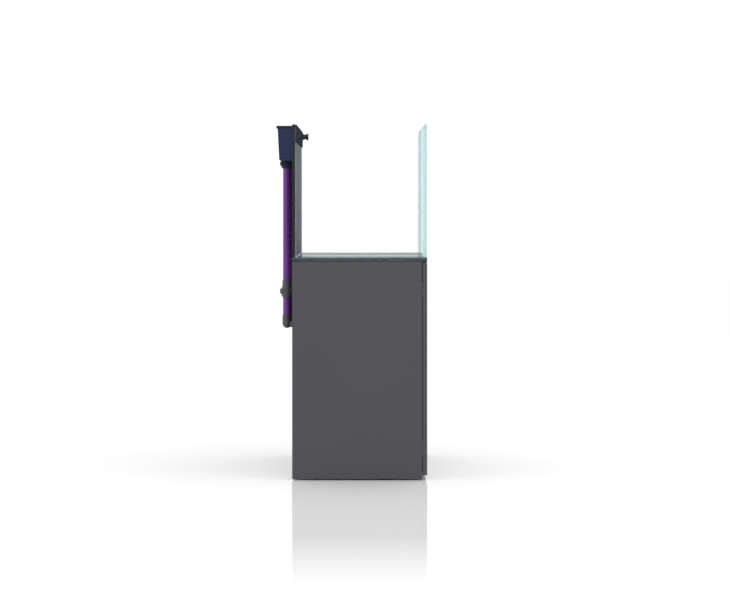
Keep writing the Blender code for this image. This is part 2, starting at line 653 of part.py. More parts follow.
def elbow(name, x):
    """A round-bodied elbow: a socket for the lower pipe and a spigot through the cabinet's back."""
    place = Vector((x, Y_PIPE, ELBOW_AXIS_Z))
    front = Vector((0, -1, 0))
    outer = ELBOW_RADIUS
    turns = [math.pi / 2 * step / BEND_STEPS for step in range(BEND_STEPS + 1)]
    shell = [(0, ELBOW_HEIGHT), (outer, ELBOW_HEIGHT)]
    shell += [(outer * math.cos(a), -outer * math.sin(a)) for a in turns[:-1]] + [(0, -outer)]
    body = turned(name, shell[::-1], place, grey_pvc(), ring=False)
    spigot = rod(f"{name}_spigot", place, front, ELBOW_SPIGOT, ELBOW_SPIGOT_RADIUS)
    collar = rod(f"{name}_collar", place, front, outer + ELBOW_COLLAR, ELBOW_SPIGOT_RADIUS + ELBOW_COLLAR)
    for piece in (spigot, collar):
        fuse(body, piece)
    way = ELBOW_SPIGOT_RADIUS - PIPE_WALL
    stop = ELBOW_HEIGHT - SOCKET_DEPTH
    bottom = [(BORE * math.cos(a), -BORE * math.sin(a)) for a in turns[:-1]] + [(0, -BORE)]
    hollow = [(0, 2 * ELBOW_HEIGHT), (SOCKET_BORE, 2 * ELBOW_HEIGHT), (SOCKET_BORE, stop), (BORE, stop)]
    cut(body, hide(turned(f"{name}_hollow", (hollow + bottom)[::-1], place, rubber(), ring=False)))
    cut(body, rod(f"{name}_way", place, front, 2 * ELBOW_SPIGOT, way))


def return_outlet():
    """The return's riser in the box, and its collar and swivel nozzle inside the tank."""
    x = PIPE_LINES["return"]
    low = Z_BOX_FLOOR + SEAT + FLANGE - SOCKET_DEPTH + SEAT
    radius = PIPE_RADIUS
    start = Z_NOZZLE - RISER_BEND
    up = Vector((0, 0, 1))
    front = Vector((0, -1, 0))
    stations = [(Vector((x, Y_PIPE, low)), up, radius, BORE)]
    for step in range(BEND_STEPS + 1):
        angle = math.pi / 2 * step / BEND_STEPS
        centre = Vector((x, Y_PIPE - RISER_BEND + RISER_BEND * math.cos(angle),
                         start + RISER_BEND * math.sin(angle)))
        stations.append((centre, Vector((0, -math.sin(angle), math.cos(angle))), radius, BORE))
    shoulder = Y_REAR + FLANGE
    inner_face = Y_GLASS_REAR
    nose = inner_face - COMB
    for y, outer, inner in ((shoulder, radius, BORE), (shoulder, radius, SPIGOT_BORE),
                            (Y_REAR + SEAT, radius, SPIGOT_BORE), (Y_REAR + SEAT, SPIGOT_RADIUS, SPIGOT_BORE),
                            (nose, SPIGOT_RADIUS, SPIGOT_BORE)):
        stations.append((Vector((x, y, Z_NOZZLE)), front, outer, inner))
    swept("return_riser", stations, grey_pvc(), (x, Y_PIPE, Z_NOZZLE))

    place = Vector((x, inner_face, Z_NOZZLE))
    cavity = NOZZLE_BALL + SLIP
    floor = NOZZLE_BALL_OUT - cavity
    thread = SPIGOT_RADIUS + SLIP
    collar = [(thread, SEAT), (COLLAR_RADIUS, SEAT), (COLLAR_RADIUS, COLLAR_LENGTH), (cavity, COLLAR_LENGTH),
              (cavity, floor), (SPIGOT_BORE, floor), (SPIGOT_BORE, COMB + SEAT), (thread, COMB + SEAT)]
    turned("nozzle_collar", collar, place, black_plastic(), (0, -1, 0))

    ball = Vector((x, inner_face - NOZZLE_BALL_OUT, Z_NOZZLE))
    reach = NOZZLE_REACH - NOZZLE_BALL_OUT
    first = math.acos(NOZZLE_BORE / NOZZLE_BALL)
    last = math.acos(NOZZLE_NECK / NOZZLE_BALL)
    arc = [-first + (first + last) * step / BEND_STEPS for step in range(BEND_STEPS + 1)]
    profile = [(NOZZLE_BALL * math.cos(a), NOZZLE_BALL * math.sin(a)) for a in arc]
    profile += [(NOZZLE_NECK, NOZZLE_NECK_LENGTH), (NOZZLE_FLARE, NOZZLE_FLARE_LENGTH), (NOZZLE_FLARE, reach),
                (NOZZLE_FLARE - NOZZLE_LIP, reach), (NOZZLE_BORE, NOZZLE_BORE_LENGTH)]
    turned("return_nozzle", profile, ball, black_plastic(), (0, -1, 0))


def build():
    clear_scene()
    cabinet()
    feet()
    doors()
    hinges()
    push_latch()
    tank()
    weir_comb()
    overflow_box()
    for name, x in PIPE_LINES.items():
        pipe_line(name, x)
    return_outlet()


build()
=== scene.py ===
"""Fine pieces and finishes for a rimless aquarium on its cabinet stand.

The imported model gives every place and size. Each operator builds the detailed pieces of one
group around it, in metres, and hands them to the bodies that carry them.
"""

import json
import math

import bpy
from bpy.props import FloatProperty, FloatVectorProperty, IntProperty, PointerProperty
from mathutils import Matrix, Vector


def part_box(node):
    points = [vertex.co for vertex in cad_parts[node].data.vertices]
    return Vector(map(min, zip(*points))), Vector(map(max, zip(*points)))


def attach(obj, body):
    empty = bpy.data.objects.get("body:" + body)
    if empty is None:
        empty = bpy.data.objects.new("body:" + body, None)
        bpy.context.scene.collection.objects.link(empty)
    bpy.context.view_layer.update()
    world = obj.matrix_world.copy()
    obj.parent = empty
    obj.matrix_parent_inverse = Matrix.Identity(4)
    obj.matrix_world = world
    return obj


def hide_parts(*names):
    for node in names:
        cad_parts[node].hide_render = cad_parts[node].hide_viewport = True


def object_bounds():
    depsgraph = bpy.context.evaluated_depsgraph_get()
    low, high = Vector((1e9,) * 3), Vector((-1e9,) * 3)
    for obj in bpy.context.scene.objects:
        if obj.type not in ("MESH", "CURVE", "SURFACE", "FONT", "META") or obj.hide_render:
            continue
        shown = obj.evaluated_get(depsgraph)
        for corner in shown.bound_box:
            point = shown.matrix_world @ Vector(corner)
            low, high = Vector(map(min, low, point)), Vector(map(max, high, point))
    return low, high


bl_info = {
    "name": "Rimless aquarium",
    "version": (1, 0, 0),
    "blender": (4, 5, 0),
    "location": "3D View > Sidebar > Aquarium",
    "description": "Builds the fine pieces and finishes of a rimless aquarium and its stand",
    "category": "Object",
}

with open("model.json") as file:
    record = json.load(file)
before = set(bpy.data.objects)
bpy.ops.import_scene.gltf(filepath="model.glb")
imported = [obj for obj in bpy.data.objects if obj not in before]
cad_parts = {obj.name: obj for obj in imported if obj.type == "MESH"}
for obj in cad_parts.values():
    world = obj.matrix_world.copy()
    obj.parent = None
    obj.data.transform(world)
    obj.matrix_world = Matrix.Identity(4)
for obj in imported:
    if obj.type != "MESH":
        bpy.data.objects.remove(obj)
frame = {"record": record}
CAD_LOW, CAD_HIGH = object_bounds()

MM = 0.001
FIT = 0.0003  # the gap that the frame keeps between two pieces that touch
# sides of a round shape, by its size, and of a rounding
TURN_STEPS = 64
MEDIUM_STEPS = 48
SMALL_STEPS = 32
TINY_STEPS = 24
EASE_STEPS = 2
FINE_EASE_STEPS = 3
SMOOTH_ANGLE = math.radians(35)
WELD = 1e-6
FLAT = 0.6  # cosine past which a face counts as facing along an axis, with the arrises beside it

FLOOR_SIZE = 80.0
LAMP_AIM = Vector((0, 0, 0.7))
CAMERA_SHIFT = (0.002, -0.127)
CAMERA_REACH = 200.0

# sizes that the frame's boxes don't show
STEM_RADIUS = 4.0 * MM
FOOT_HEIGHT = 5.0 * MM
FOOT_CHAMFER = 1.2 * MM
FLUTE = 0.7 * MM
CAP_INSET = 34 * MM
BUMPER_INSET = 30 * MM
CUP_RADIUS = 17.5 * MM
CUP_WALL = 1.5 * MM
CUP_FLANGE = 1.2 * MM
CUP_EAR_REACH = 30 * MM
CUP_EAR_WIDTH = 21 * MM
CUP_EAR_CORNER = 6 * MM
CUP_EAR_SHEET = 0.8 * CUP_FLANGE
CUP_SCREW = 24.5 * MM
PIN_RADIUS = 1.6 * MM
PIN_PLAY = 1 * MM
LINK_SIZE = Vector((7, 7.5, 10)) * MM
LINK_ASIDE = 5 * MM
ARM_BASE = 2.0 * MM
ARM_BASE_START = 12 * MM
ARM_BASE_HALF = 10 * MM
ARM_BASE_CORNER = 7 * MM
ARM_WIDTH = 14 * MM
ARM_CORNER = 3 * MM
ARM_HEEL = 5 * MM
ARM_TOE = 6 * MM
ARM_SLOT_HALF = 2 * MM
ARM_SLOT_DEEP = 1.5 * MM
PLUNGER_CORNER = 0.3 * MM
LATCH_CORNER = 1.5 * MM
MAT_CORNER = 1.0 * MM
NOTCH_LEFT = -190 * MM
NOTCH_RIGHT = 80 * MM
NOTCH_DEPTH = 40 * MM
COMB_PITCH = 12 * MM
COMB_SLOT = 4 * MM
COMB_SLOT_DEPTH = 30 * MM
SPIGOT_RADIUS = 10 * MM
BEAD = 4 * MM
BEAD_STEPS = 6
BOX_WALL = 5 * MM
BOX_CHAMFER = 5 * MM
BOX_STEP = 18 * MM
BOX_GROOVE = 0.6 * MM
GROOVE_WIDTH = 1.2 * MM
GROOVE_CUTTER = 50 * MM
LID_RIM = 12 * MM
FLANGE_LIP = 2.5 * MM
BULKHEAD_LIP = 1.0 * MM
PIPE_WALL = 3.4 * MM
SOCKET_DEPTH = 18 * MM
UNION_SKIRT = 8 * MM
UNION_SKIRT_WALL = 3.5 * MM
UNION_LIP = 3.5 * MM
UNION_FLANGE = 6 * MM
UNION_BEAD = 2.5 * MM
UNION_SLOPE = 2.7 * MM
ELBOW_LEAD = 9 * MM
ELBOW_TAPER = 1 * MM
ELBOW_SPIGOT_RADIUS = 12.5 * MM
ELBOW_COLLAR = 3 * MM
RISER_THROAT = 2.3 * MM
RISER_WALL = 3 * MM
COLLAR_RIBS = 16
COLLAR_RIB = 0.7 * MM
BALL_OUT = 19.5 * MM
BALL_RADIUS = 11.5 * MM
NOZZLE_BORE = 5.5 * MM
NOZZLE_NECK = 9.8 * MM
SPIGOT_BORE = 7 * MM
BEND_STEPS = 16
BEND_TURN = math.pi / 2

# shares of the light that glass mirrors: coated and seen head on, and seen almost flat
MIRRORED_HEAD_ON = 0.006
MIRRORED_BY_WALLS = 0.3
MIRRORED_BY_BASE = 0.42
ABSORPTION = 2.0  # any density does, as the colour is worked out from it

BODY_OF = {
    node: body
    for body, nodes in frame["record"]["behaviour"]["bodies"].items()
    for node in nodes
}

SIDES = {"left": -1, "right": 1}
LINES = ("drain", "return")
FOOT_PLACES = ("front", "middle", "rear")
HINGE_LEVELS = ("lower", "upper")
X, Y, Z = Vector((1, 0, 0)), Vector((0, 1, 0)), Vector((0, 0, 1))
# for each turning axis, the direction in which a profile's radius is drawn
RADIAL = {"X": (Y, X), "Y": (X, Y), "Z": (X, Z)}


def linear(code):
    """An sRGB hex colour as linear red, green and blue."""
    shares = [int(code[place : place + 2], 16) / 255 for place in (1, 3, 5)]
    return [s / 12.92 if s <= 0.04045 else ((s + 0.055) / 1.055) ** 2.4 for s in shares]


def colour(title, code, use):
    return FloatVectorProperty(
        name=title, description=use, default=linear(code), size=3, min=0, max=1, subtype="COLOR"
    )


def length(title, millimetres, use):
    return FloatProperty(
        name=title, description=use, default=millimetres * MM, min=0, unit="LENGTH", subtype="DISTANCE"
    )


def share(title, value, use):
    return FloatProperty(name=title, description=use, default=value, min=0, max=1, subtype="FACTOR")


# ---- settings -----------------------------------------------------------------------------
class CabinetLooks(bpy.types.PropertyGroup):
    """Boards, doors, their fittings and the feet."""

    board: colour("Board", "#403F45", "Lacquer on the cabinet's boards and doors")
    board_shine: share("Board roughness", 0.46, "Roughness of the satin lacquer")
    board_arris: length("Board arris", 1.0, "Rounding of the boards' edges")
    peel: length("Orange peel", 3.0, "Width of the ripples that spraying leaves in the lacquer")
    cap_radius: length("Cap radius", 7.5, "Radius of the caps over the cam locks")
    cap_height: length("Cap height", 0.8, "How far those caps stand out")
    bumper_radius: length("Bumper radius", 4.0, "Radius of the soft stops behind the doors")
    screw_radius: length("Screw head", 3.6, "Radius of the small screws' heads")
    screw_height: length("Screw height", 1.6, "Height of those heads")
    plate: colour("Plating", "#B9B6B0", "Nickel plate on the hinges")
    flutes: IntProperty(name="Foot flutes", description="Grips round each foot", default=12, min=3)


class GlassLooks(bpy.types.PropertyGroup):
    """The tank's glass, its sealant and the mat below it."""

    tint: colour("Tint", "#A6D3D6", "Colour that white light has after one metre of the glass")
    # painted glow: this cyan stands in for light carried lengthwise through the glass and let out at the
    # ground edges
    edge: colour("Edge", "#6ABEC2", "Ground edges, where light from the whole pane comes out")
    edge_share: share("Edge cover", 0.6, "How much of what is behind an edge its glow hides")
    # painted light and shade: the bottom pane's edge fades from the paler top colour to the darker foot
    # colour, standing in for the mat seen through the glass
    base_top_painted_light: colour("Base edge, top", "#4C5A5E", "Upper arris of the bottom pane's edge")
    base_foot_painted_shade: colour("Base edge, foot", "#1F2D34", "Lower arris of it, against the dark mat")
    arris: length("Glass arris", 0.8, "Ground chamfer along the panes' edges")
    backing: colour("Backing", "#1D1E28", "Paint behind the rear pane")
    backing_edge: colour("Backing edge", "#150F1E", "The rear pane's painted edges")
    sealant: colour("Sealant", "#DCE6E6", "Clear sealant in the tank's corners")
    foam: colour("Foam", "#343E42", "Closed-cell foam under the tank")
    foam_cell: length("Foam cell", 1.2, "Width of a cell in the foam")


class OverflowLooks(bpy.types.PropertyGroup):
    """The box behind the tank, its lid, the weir comb and the nozzle."""

    acrylic: colour("Acrylic", "#0E2350", "Cast sheet of the overflow box")
    lid: colour("Lid", "#0C1424", "Darker sheet of the box's lid")
    plastic: colour("Black plastic", "#2A2D3A", "Moulded comb, knob, collar, nozzle and bulkheads")
    edge: length("Sheet edge", 0.6, "Rounding of the acrylic sheet's edges")
    lid_edge: length("Lid edge", 2.2, "Rounding of the lid's top edge")
    lid_pocket: length("Lid pocket", 5.0, "Depth of the hollow under the lid")
    comb_edge: length("Comb edge", 0.7, "Rounding of the comb's teeth")


class PlumbingLooks(bpy.types.PropertyGroup):
    """Pipes, unions, bulkheads and elbows."""

    pipe: colour("Pipe", "#6B308F", "Purple pipe, coloured all through")
    fitting: colour("Fitting", "#46464C", "Grey moulded fittings")
    gasket: length("Gasket", 2.0, "Thickness of the bulkheads' gaskets")
    rib: length("Rib", 1.4, "How far a nut's grips stand out")
    ribs: IntProperty(name="Ribs", description="Grips round each nut", default=16, min=4)
    ease: length("Fitting edge", 0.8, "Rounding of the moulded edges")
    rubber: colour("Rubber", "#1C1C1D", "Black rubber of the gaskets")


class StageLooks(bpy.types.PropertyGroup):
    """The floor, the lamps and the camera."""

    floor: colour("Floor", "#FAFAFA", "Pale studio floor")
    shine: share("Floor shine", 0.37, "Share of light that the floor mirrors beside the stand")
    daylight: FloatProperty(name="Daylight", description="Strength of the white surroundings", default=1.05)
    shine_even: FloatProperty(
        name="Even shine", description="Distance from the stand up to which the floor mirrors evenly",
        default=1.45, unit="LENGTH",
    )
    shine_reach: FloatProperty(
        name="Shine reach", description="Distance at which the mirroring has faded away",
        default=2.6, unit="LENGTH",
    )
    distance: FloatProperty(
        name="Camera distance", description="From the camera to the tank's left side",
        default=8.57, unit="LENGTH",
    )
    height: FloatProperty(
        name="Camera height", description="Of the lens above the floor", default=1.112, unit="LENGTH"
    )
    aside: FloatProperty(
        name="Camera aside", description="The lens along the tank's depth, from the origin",
        default=-0.0522, unit="LENGTH",
    )
    lens: FloatProperty(name="Lens", description="Focal length in millimetres", default=103.8, unit="CAMERA")


# ---- modelling helpers --------------------------------------------------------------------
def alone(obj):
    """Makes obj the only selected object, and the active one."""
    bpy.ops.object.select_all(action="DESELECT")
    obj.select_set(True)
    bpy.context.view_layer.objects.active = obj
    return obj


def fresh(name):
    """Names the object just added, and moves its place and size into its mesh."""
    obj = bpy.context.active_object
    obj.name = obj.data.name = name
    bpy.ops.object.transform_apply(location=True, rotation=True, scale=True)
    return obj


def start_add():
    bpy.ops.object.select_all(action="DESELECT")


def pick(obj, test, kind="FACE"):
    """Enters edit mode with only the faces or edges selected whose middle and direction pass the test.

    A face's direction is its normal, and an edge's is the unit vector along it.
    """
    alone(obj)
    mesh = obj.data
    for items in (mesh.vertices, mesh.edges, mesh.polygons):
        items.foreach_set("select", [False] * len(items))
    if kind == "FACE":
        for face in mesh.polygons:
            face.select = test(face.center, face.normal)
    else:
        for edge in mesh.edges:
            one, two = (mesh.vertices[index].co for index in edge.vertices)
            edge.select = test((one + two) / 2, (two - one).normalized())
    bpy.context.tool_settings.mesh_select_mode = (False, kind == "EDGE", kind == "FACE")
    bpy.ops.object.mode_set(mode="EDIT")


def tidy(obj):
    """From edit mode: merges doubles, points the faces outwards and returns to object mode."""
    bpy.ops.mesh.select_all(action="SELECT")
    bpy.ops.mesh.remove_doubles(threshold=WELD)
    bpy.ops.mesh.normals_make_consistent(inside=False)
    bpy.ops.object.mode_set(mode="OBJECT")
    return obj


def apply_modifier(obj, kind, **settings):
    made = obj.modifiers.new(kind.lower(), kind)
    for key, value in settings.items():
        setattr(made, key, value)
    alone(obj)
    bpy.ops.object.modifier_apply(modifier=made.name)
    return obj


def shaded(obj):
    """Smooth shading with flat faces kept flat beside their rounded edges."""
    alone(obj)
    bpy.ops.object.shade_smooth_by_angle(angle=SMOOTH_ANGLE)
    return apply_modifier(obj, "WEIGHTED_NORMAL", keep_sharp=True)


def round_edges(obj, width, steps=EASE_STEPS):
    return apply_modifier(obj, "BEVEL", width=width, segments=steps, limit_method="ANGLE")


def slab(name, low, high):
    """A square block between two corners, ready to be shaped."""
    low, high = Vector(low), Vector(high)
    start_add()
    bpy.ops.mesh.primitive_cube_add(size=1, location=(low + high) / 2, scale=high - low)
    return fresh(name)


def drum(name, place, radius, depth, axis=Z, steps=TURN_STEPS):
    """A round cutter, centred on place."""
    start_add()
    turn = Z.rotation_difference(axis).to_euler()
    bpy.ops.mesh.primitive_cylinder_add(
        vertices=steps, radius=radius, depth=depth, location=place, rotation=turn
    )
    return fresh(name)


def carve(obj, *cutters):
    for cutter in cutters:
        apply_modifier(obj, "BOOLEAN", operation="DIFFERENCE", solver="EXACT", object=cutter)
        bpy.data.objects.remove(cutter)
    return obj


def eased(points, width, closed=True):
    """The outline with each corner rounded, by up to width along its two sides."""
    points = [Vector(point) for point in points]
    made = []
    for index, corner in enumerate(points):
        before, after = points[index - 1], points[(index + 1) % len(points)]
        at_end = not closed and index in (0, len(points) - 1)
        reach = min(width, 0.45 * (before - corner).length, 0.45 * (after - corner).length)
        if at_end or reach == 0:
            made.append(corner)
            continue
        first = corner + (before - corner).normalized() * reach
        last = corner + (after - corner).normalized() * reach
        for step in range(EASE_STEPS + 1):
            t = step / EASE_STEPS
            made.append(first * (1 - t) ** 2 + corner * 2 * t * (1 - t) + last * t**2)
    return made


def drawn(name, points):
    """A line drawn by pulling one vertex from point to point. It stays in edit mode."""
    start_add()
    bpy.ops.mesh.primitive_plane_add(size=MM, location=points[0])
    obj = fresh(name)
    bpy.ops.object.mode_set(mode="EDIT")
    bpy.ops.mesh.select_mode(type="VERT")
    bpy.ops.mesh.select_all(action="SELECT")
    bpy.ops.mesh.merge(type="CENTER")
    for before, after in zip(points, points[1:]):
        bpy.ops.mesh.extrude_vertices_move(TRANSFORM_OT_translate={"value": after - before})
    return obj


def turned(name, profile, place, axis="Z", closed=True, ease=0.0, steps=TURN_STEPS):
    """A profile of (radius, height) points, eased and spun about an axis through place.

    A closed profile makes a ring, and an open one starts and ends on the axis.
    """
    out, along = RADIAL[axis]
    outline = eased(profile, ease, closed)
    if closed:
        outline.append(outline[0])
    place = Vector(place)
    obj = drawn(name, [place + point[0] * out + point[1] * along for point in outline])
    bpy.ops.mesh.select_all(action="SELECT")
    bpy.ops.mesh.spin(steps=steps, angle=math.tau, center=place, axis=along)
    return tidy(obj)


def plate(name, outline, plane, start, depth, ease=0.0):
    """An outline drawn in a plane, filled, and pulled out along the plane's normal from start."""
    places = {
        "YZ": lambda a, b: Vector((start, a, b)),
        "XZ": lambda a, b: Vector((a, start, b)),
        "XY": lambda a, b: Vector((a, b, start)),
    }
    pull = {"YZ": X, "XZ": Y, "XY": Z}[plane] * depth
    obj = drawn(name, [places[plane](*point) for point in eased(outline, ease)])
    bpy.ops.mesh.select_all(action="SELECT")
    bpy.ops.mesh.edge_face_add()
    bpy.ops.mesh.extrude_region_move(TRANSFORM_OT_translate={"value": pull})
    return tidy(obj)


def ring_of(radius, place, direction, steps=TURN_STEPS):
    """A circle of vertices round place, facing along direction, left in edit mode and selected."""
    start_add()
    turn = Z.rotation_difference(direction).to_euler()
    bpy.ops.mesh.primitive_circle_add(
        vertices=steps, radius=radius, fill_type="NOTHING", location=place, rotation=turn
    )
    obj = fresh("ring")
    bpy.ops.object.mode_set(mode="EDIT")
    bpy.ops.mesh.select_mode(type="EDGE")
    bpy.ops.mesh.select_all(action="SELECT")
    return obj


def pull_ring(offset):
    bpy.ops.mesh.extrude_edges_move(TRANSFORM_OT_translate={"value": offset})


def swell_ring(ratio, centre):
    """Extrudes the selected ring where it is and scales the new one about its centre."""
    bpy.ops.mesh.extrude_edges_move(TRANSFORM_OT_translate={"value": (0, 0, 0)})
    bpy.ops.transform.resize(value=(ratio,) * 3, center_override=centre)


def ribbed(obj, place, low, high, radius, count, depth, axis="Z"):
    """Raises grips on the side faces of a turned piece, between two heights along its axis."""
    out, along = RADIAL[axis]
    across = along.cross(out)
    place = Vector(place)
    pitch = math.tau / count

    def on_grip(centre, normal):
        away = centre - place
        height = away.dot(along)
        angle = math.atan2(away.dot(across), away.dot(out)) % pitch
        far = (away - height * along).length
        return (
            low < height < high
            and abs(normal.dot(along)) < 0.2
            and normal.dot(away) > 0
            and far > radius
            and angle < pitch / 2
        )

    pick(obj, on_grip)
    bpy.ops.mesh.inset(thickness=depth / 3, depth=depth, use_boundary=True, use_even_offset=True)
    bpy.ops.object.mode_set(mode="OBJECT")
    return obj


def joined(name, *pieces):
    alone(pieces[0])
    for piece in pieces[1:]:
        piece.select_set(True)
    bpy.ops.object.join()
    pieces[0].name = pieces[0].data.name = name
    return pieces[0]


def copied(obj, name, offset=(0, 0, 0), mirrored=False):
    """A copy with a mesh of its own, moved by offset or mirrored across the middle of the tank."""
    twin = obj.copy()
    twin.data = obj.data.copy()
    twin.name = twin.data.name = name
    bpy.context.scene.collection.objects.link(twin)
    twin.data.transform(Matrix.Translation(offset))
    if mirrored:
        twin.data.transform(Matrix.Scale(-1, 4, X))
        pick(twin, lambda centre, normal: True)
        tidy(twin)
    return twin


def hand_over(piece, look, body):
    """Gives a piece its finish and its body."""
    piece.data.materials.clear()
    piece.data.materials.append(look)
    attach(piece, body)
    return piece


def edged(piece, across, look):
    """Gives the edge faces of a pane, those that don't face along its thickness, a finish of their own."""
    piece.data.materials.append(look)
    for face in piece.data.polygons:
        face.material_index = 0 if abs(face.normal.dot(across)) > FLAT else 1


def stand_for(piece, node, look):
    """The piece takes the place and body of a node of the frame, with its finish, and the node is hidden."""
    hand_over(piece, look, BODY_OF[node])
    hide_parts(node)
    return piece


# ---- finishes -----------------------------------------------------------------------------
def add_node(tree, kind, sockets=None, **settings):
    """Adds a node with its own settings, and fills its sockets with values or with links."""
    made = tree.nodes.new(kind)
    for key, value in settings.items():
        setattr(made, key, value)
    for key, value in (sockets or {}).items():
        if isinstance(value, bpy.types.NodeSocket):
            tree.links.new(value, made.inputs[key])
        else:
            made.inputs[key].default_value = value
    return made


def new_finish(name, sockets):
    """A material with constants on its Principled shader."""
    made = bpy.data.materials.new(name)
    made.use_nodes = True
    shader = made.node_tree.nodes["Principled BSDF"]
    for key, value in sockets.items():
        shader.inputs[key].default_value = value
    return made, made.node_tree, shader


def wander(tree, size, low, high, stretch=(1, 1, 1), detail=2.0):
    """A value that wanders between low and high over blotches of that size, in metres."""
    place = add_node(tree, "ShaderNodeTexCoord")
    scaled = add_node(
        tree, "ShaderNodeMapping", {"Vector": place.outputs["Object"], "Scale": stretch}
    )
    blotch = add_node(
        tree,
        "ShaderNodeTexNoise",
        {"Vector": scaled.outputs["Vector"], "Scale": 1 / size, "Detail": detail},
    )
    # noise keeps close to its middle, so its usual range is stretched to the whole of low to high
    spread = add_node(
        tree,
        "ShaderNodeMapRange",
        {"Value": blotch.outputs["Fac"], "From Min": 0.3, "From Max": 0.7, "To Min": low, "To Max": high},
    )
    return spread.outputs["Result"]


def vary_colour(tree, shader, base, size, depth, stretch=(1, 1, 1)):
    """Lets the colour drift a little lighter and darker than base over blotches of that size."""
    darker = [part * (1 - depth) for part in base]
    lighter = [min(1, part * (1 + depth)) for part in base]
    mixed = add_node(
        tree,
        "ShaderNodeMix",
        {"Factor": wander(tree, size, 0, 1, stretch), "A": (*darker, 1), "B": (*lighter, 1)},
        data_type="RGBA",
    )
    tree.links.new(mixed.outputs["Result"], shader.inputs["Base Color"])


def emboss(tree, shader, height, depth):
    """Bumps the surface by a height of 0 to 1, depth metres deep."""
    relief = add_node(tree, "ShaderNodeBump", {"Height": height, "Distance": depth, "Strength": 1.0})
    tree.links.new(relief.outputs["Normal"], shader.inputs["Normal"])


def satin_lacquer(looks):
    """Sprayed satin lacquer on MDF: even grey, softly shiny, with a faint orange peel."""
    made, tree, shader = new_finish("satin_lacquered_mdf", {"IOR": 1.5})
    vary_colour(tree, shader, looks.cabinet.board, 0.35, 0.03)
    shine = looks.cabinet.board_shine
    tree.links.new(wander(tree, 0.08, shine - 0.03, shine + 0.03), shader.inputs["Roughness"])
    emboss(tree, shader, wander(tree, looks.cabinet.peel, 0, 1), 0.02 * MM)
    return made


def clear_sheet(name, looks, most):
    """Clear glass that mirrors more the flatter it is seen, up to a share of most, and is tinted by depth."""
    made, tree, shader = new_finish(name, {})
    tree.nodes.remove(shader)
    facing = add_node(tree, "ShaderNodeLayerWeight", {"Blend": 0.5})
    steep = add_node(tree, "ShaderNodeMath", {0: facing.outputs["Facing"], 1: 5.0}, operation="POWER")
    mirrored = add_node(
        tree,
        "ShaderNodeMapRange",
        {"Value": steep.outputs["Value"], "To Min": MIRRORED_HEAD_ON, "To Max": most},
    )
    # handling leaves a film too thin to see but for a slight softening of reflections
    film = wander(tree, 0.15, 0.0, 0.02)
    clear = add_node(tree, "ShaderNodeBsdfTransparent")
    gloss = add_node(tree, "ShaderNodeBsdfGlossy", {"Color": (1, 1, 1, 1), "Roughness": film})
    mixed = add_node(
        tree,
        "ShaderNodeMixShader",
        {"Fac": mirrored.outputs["Result"], 1: clear.outputs["BSDF"], 2: gloss.outputs["BSDF"]},
    )
    absorbed = [1 + math.log(part) / ABSORPTION for part in looks.glass.tint]
    inside = add_node(
        tree, "ShaderNodeVolumeAbsorption", {"Color": (*absorbed, 1), "Density": ABSORPTION}
    )
    ends = tree.nodes["Material Output"]
    tree.links.new(mixed.outputs["Shader"], ends.inputs["Surface"])
    tree.links.new(inside.outputs["Volume"], ends.inputs["Volume"])
    return made


def float_glass(looks):
    """Low-iron float glass: clear through its faces, pale cyan where it is seen lengthwise."""
    return clear_sheet("low_iron_float_glass", looks, MIRRORED_BY_WALLS)


def base_glass(looks):
    """The bottom pane's float glass, which mirrors more than the walls do when seen almost flat."""
    return clear_sheet("float_glass_base", looks, MIRRORED_BY_BASE)


def painted_edge_glow(looks):
    """Ground and polished glass edge with a painted glow: cyan, half clear, standing in for light carried
    along the pane and let out at its edge, with the fine lines of the grinding wheel.
    """
    made, tree, shader = new_finish("ground_glass_edge_painted_glow", {"IOR": 1.52, "Alpha": looks.glass.edge_share})
    # the cyan base colour is a painted glow of the light that comes out of the pane's edge
    vary_colour(tree, shader, looks.glass.edge, 0.05, 0.04)
    tree.links.new(wander(tree, 0.02, 0.12, 0.25), shader.inputs["Roughness"])
    emboss(tree, shader, wander(tree, 0.3 * MM, 0, 1, (1, 1, 0.05)), 0.004 * MM)
    return made


def base_edge_painted_shade(looks):
    """The bottom pane's edge with painted light and shade: pale above, and painted dark below, standing in
    for the dark mat seen through the glass.
    """
    made, tree, shader = new_finish("ground_glass_base_edge", {"IOR": 1.52, "Specular IOR Level": 0.25})
    low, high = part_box("bottom_pane")
    place = add_node(tree, "ShaderNodeTexCoord")
    parts = add_node(tree, "ShaderNodeSeparateXYZ", {"Vector": place.outputs["Object"]})
    # painted shade mask: height up the pane, from its underside to its top face
    rise = add_node(
        tree, "ShaderNodeMapRange", {"Value": parts.outputs["Z"], "From Min": low.z, "From Max": high.z}
    )
    mixed = add_node(
        tree,
        "ShaderNodeMix",
        {"Factor": rise.outputs["Result"], "A": (*looks.glass.base_foot_painted_shade, 1), "B": (*looks.glass.base_top_painted_light, 1)},
        data_type="RGBA",
    )
    tree.links.new(mixed.outputs["Result"], shader.inputs["Base Color"])
    tree.links.new(wander(tree, 0.02, 0.2, 0.35), shader.inputs["Roughness"])
    return made


def backed_glass(looks):
    """Glass with dark paint baked on: a charcoal sheet with a soft, even shine."""
    made, tree, shader = new_finish("dark_enamelled_glass", {"IOR": 1.52})
    vary_colour(tree, shader, looks.glass.backing, 0.25, 0.04)
    tree.links.new(wander(tree, 0.12, 0.6, 0.66), shader.inputs["Roughness"])
    emboss(tree, shader, wander(tree, 4 * MM, 0, 1), 0.01 * MM)
    return made


def backed_edge(looks):
    """The painted edge of the rear pane: nearly black, with a trace of the glass's depth."""
    made, tree, shader = new_finish("dark_enamelled_edge", {"IOR": 1.52, "Specular IOR Level": 0.3})
    vary_colour(tree, shader, looks.glass.backing_edge, 0.04, 0.1)
    tree.links.new(wander(tree, 0.03, 0.4, 0.5), shader.inputs["Roughness"])
    return made


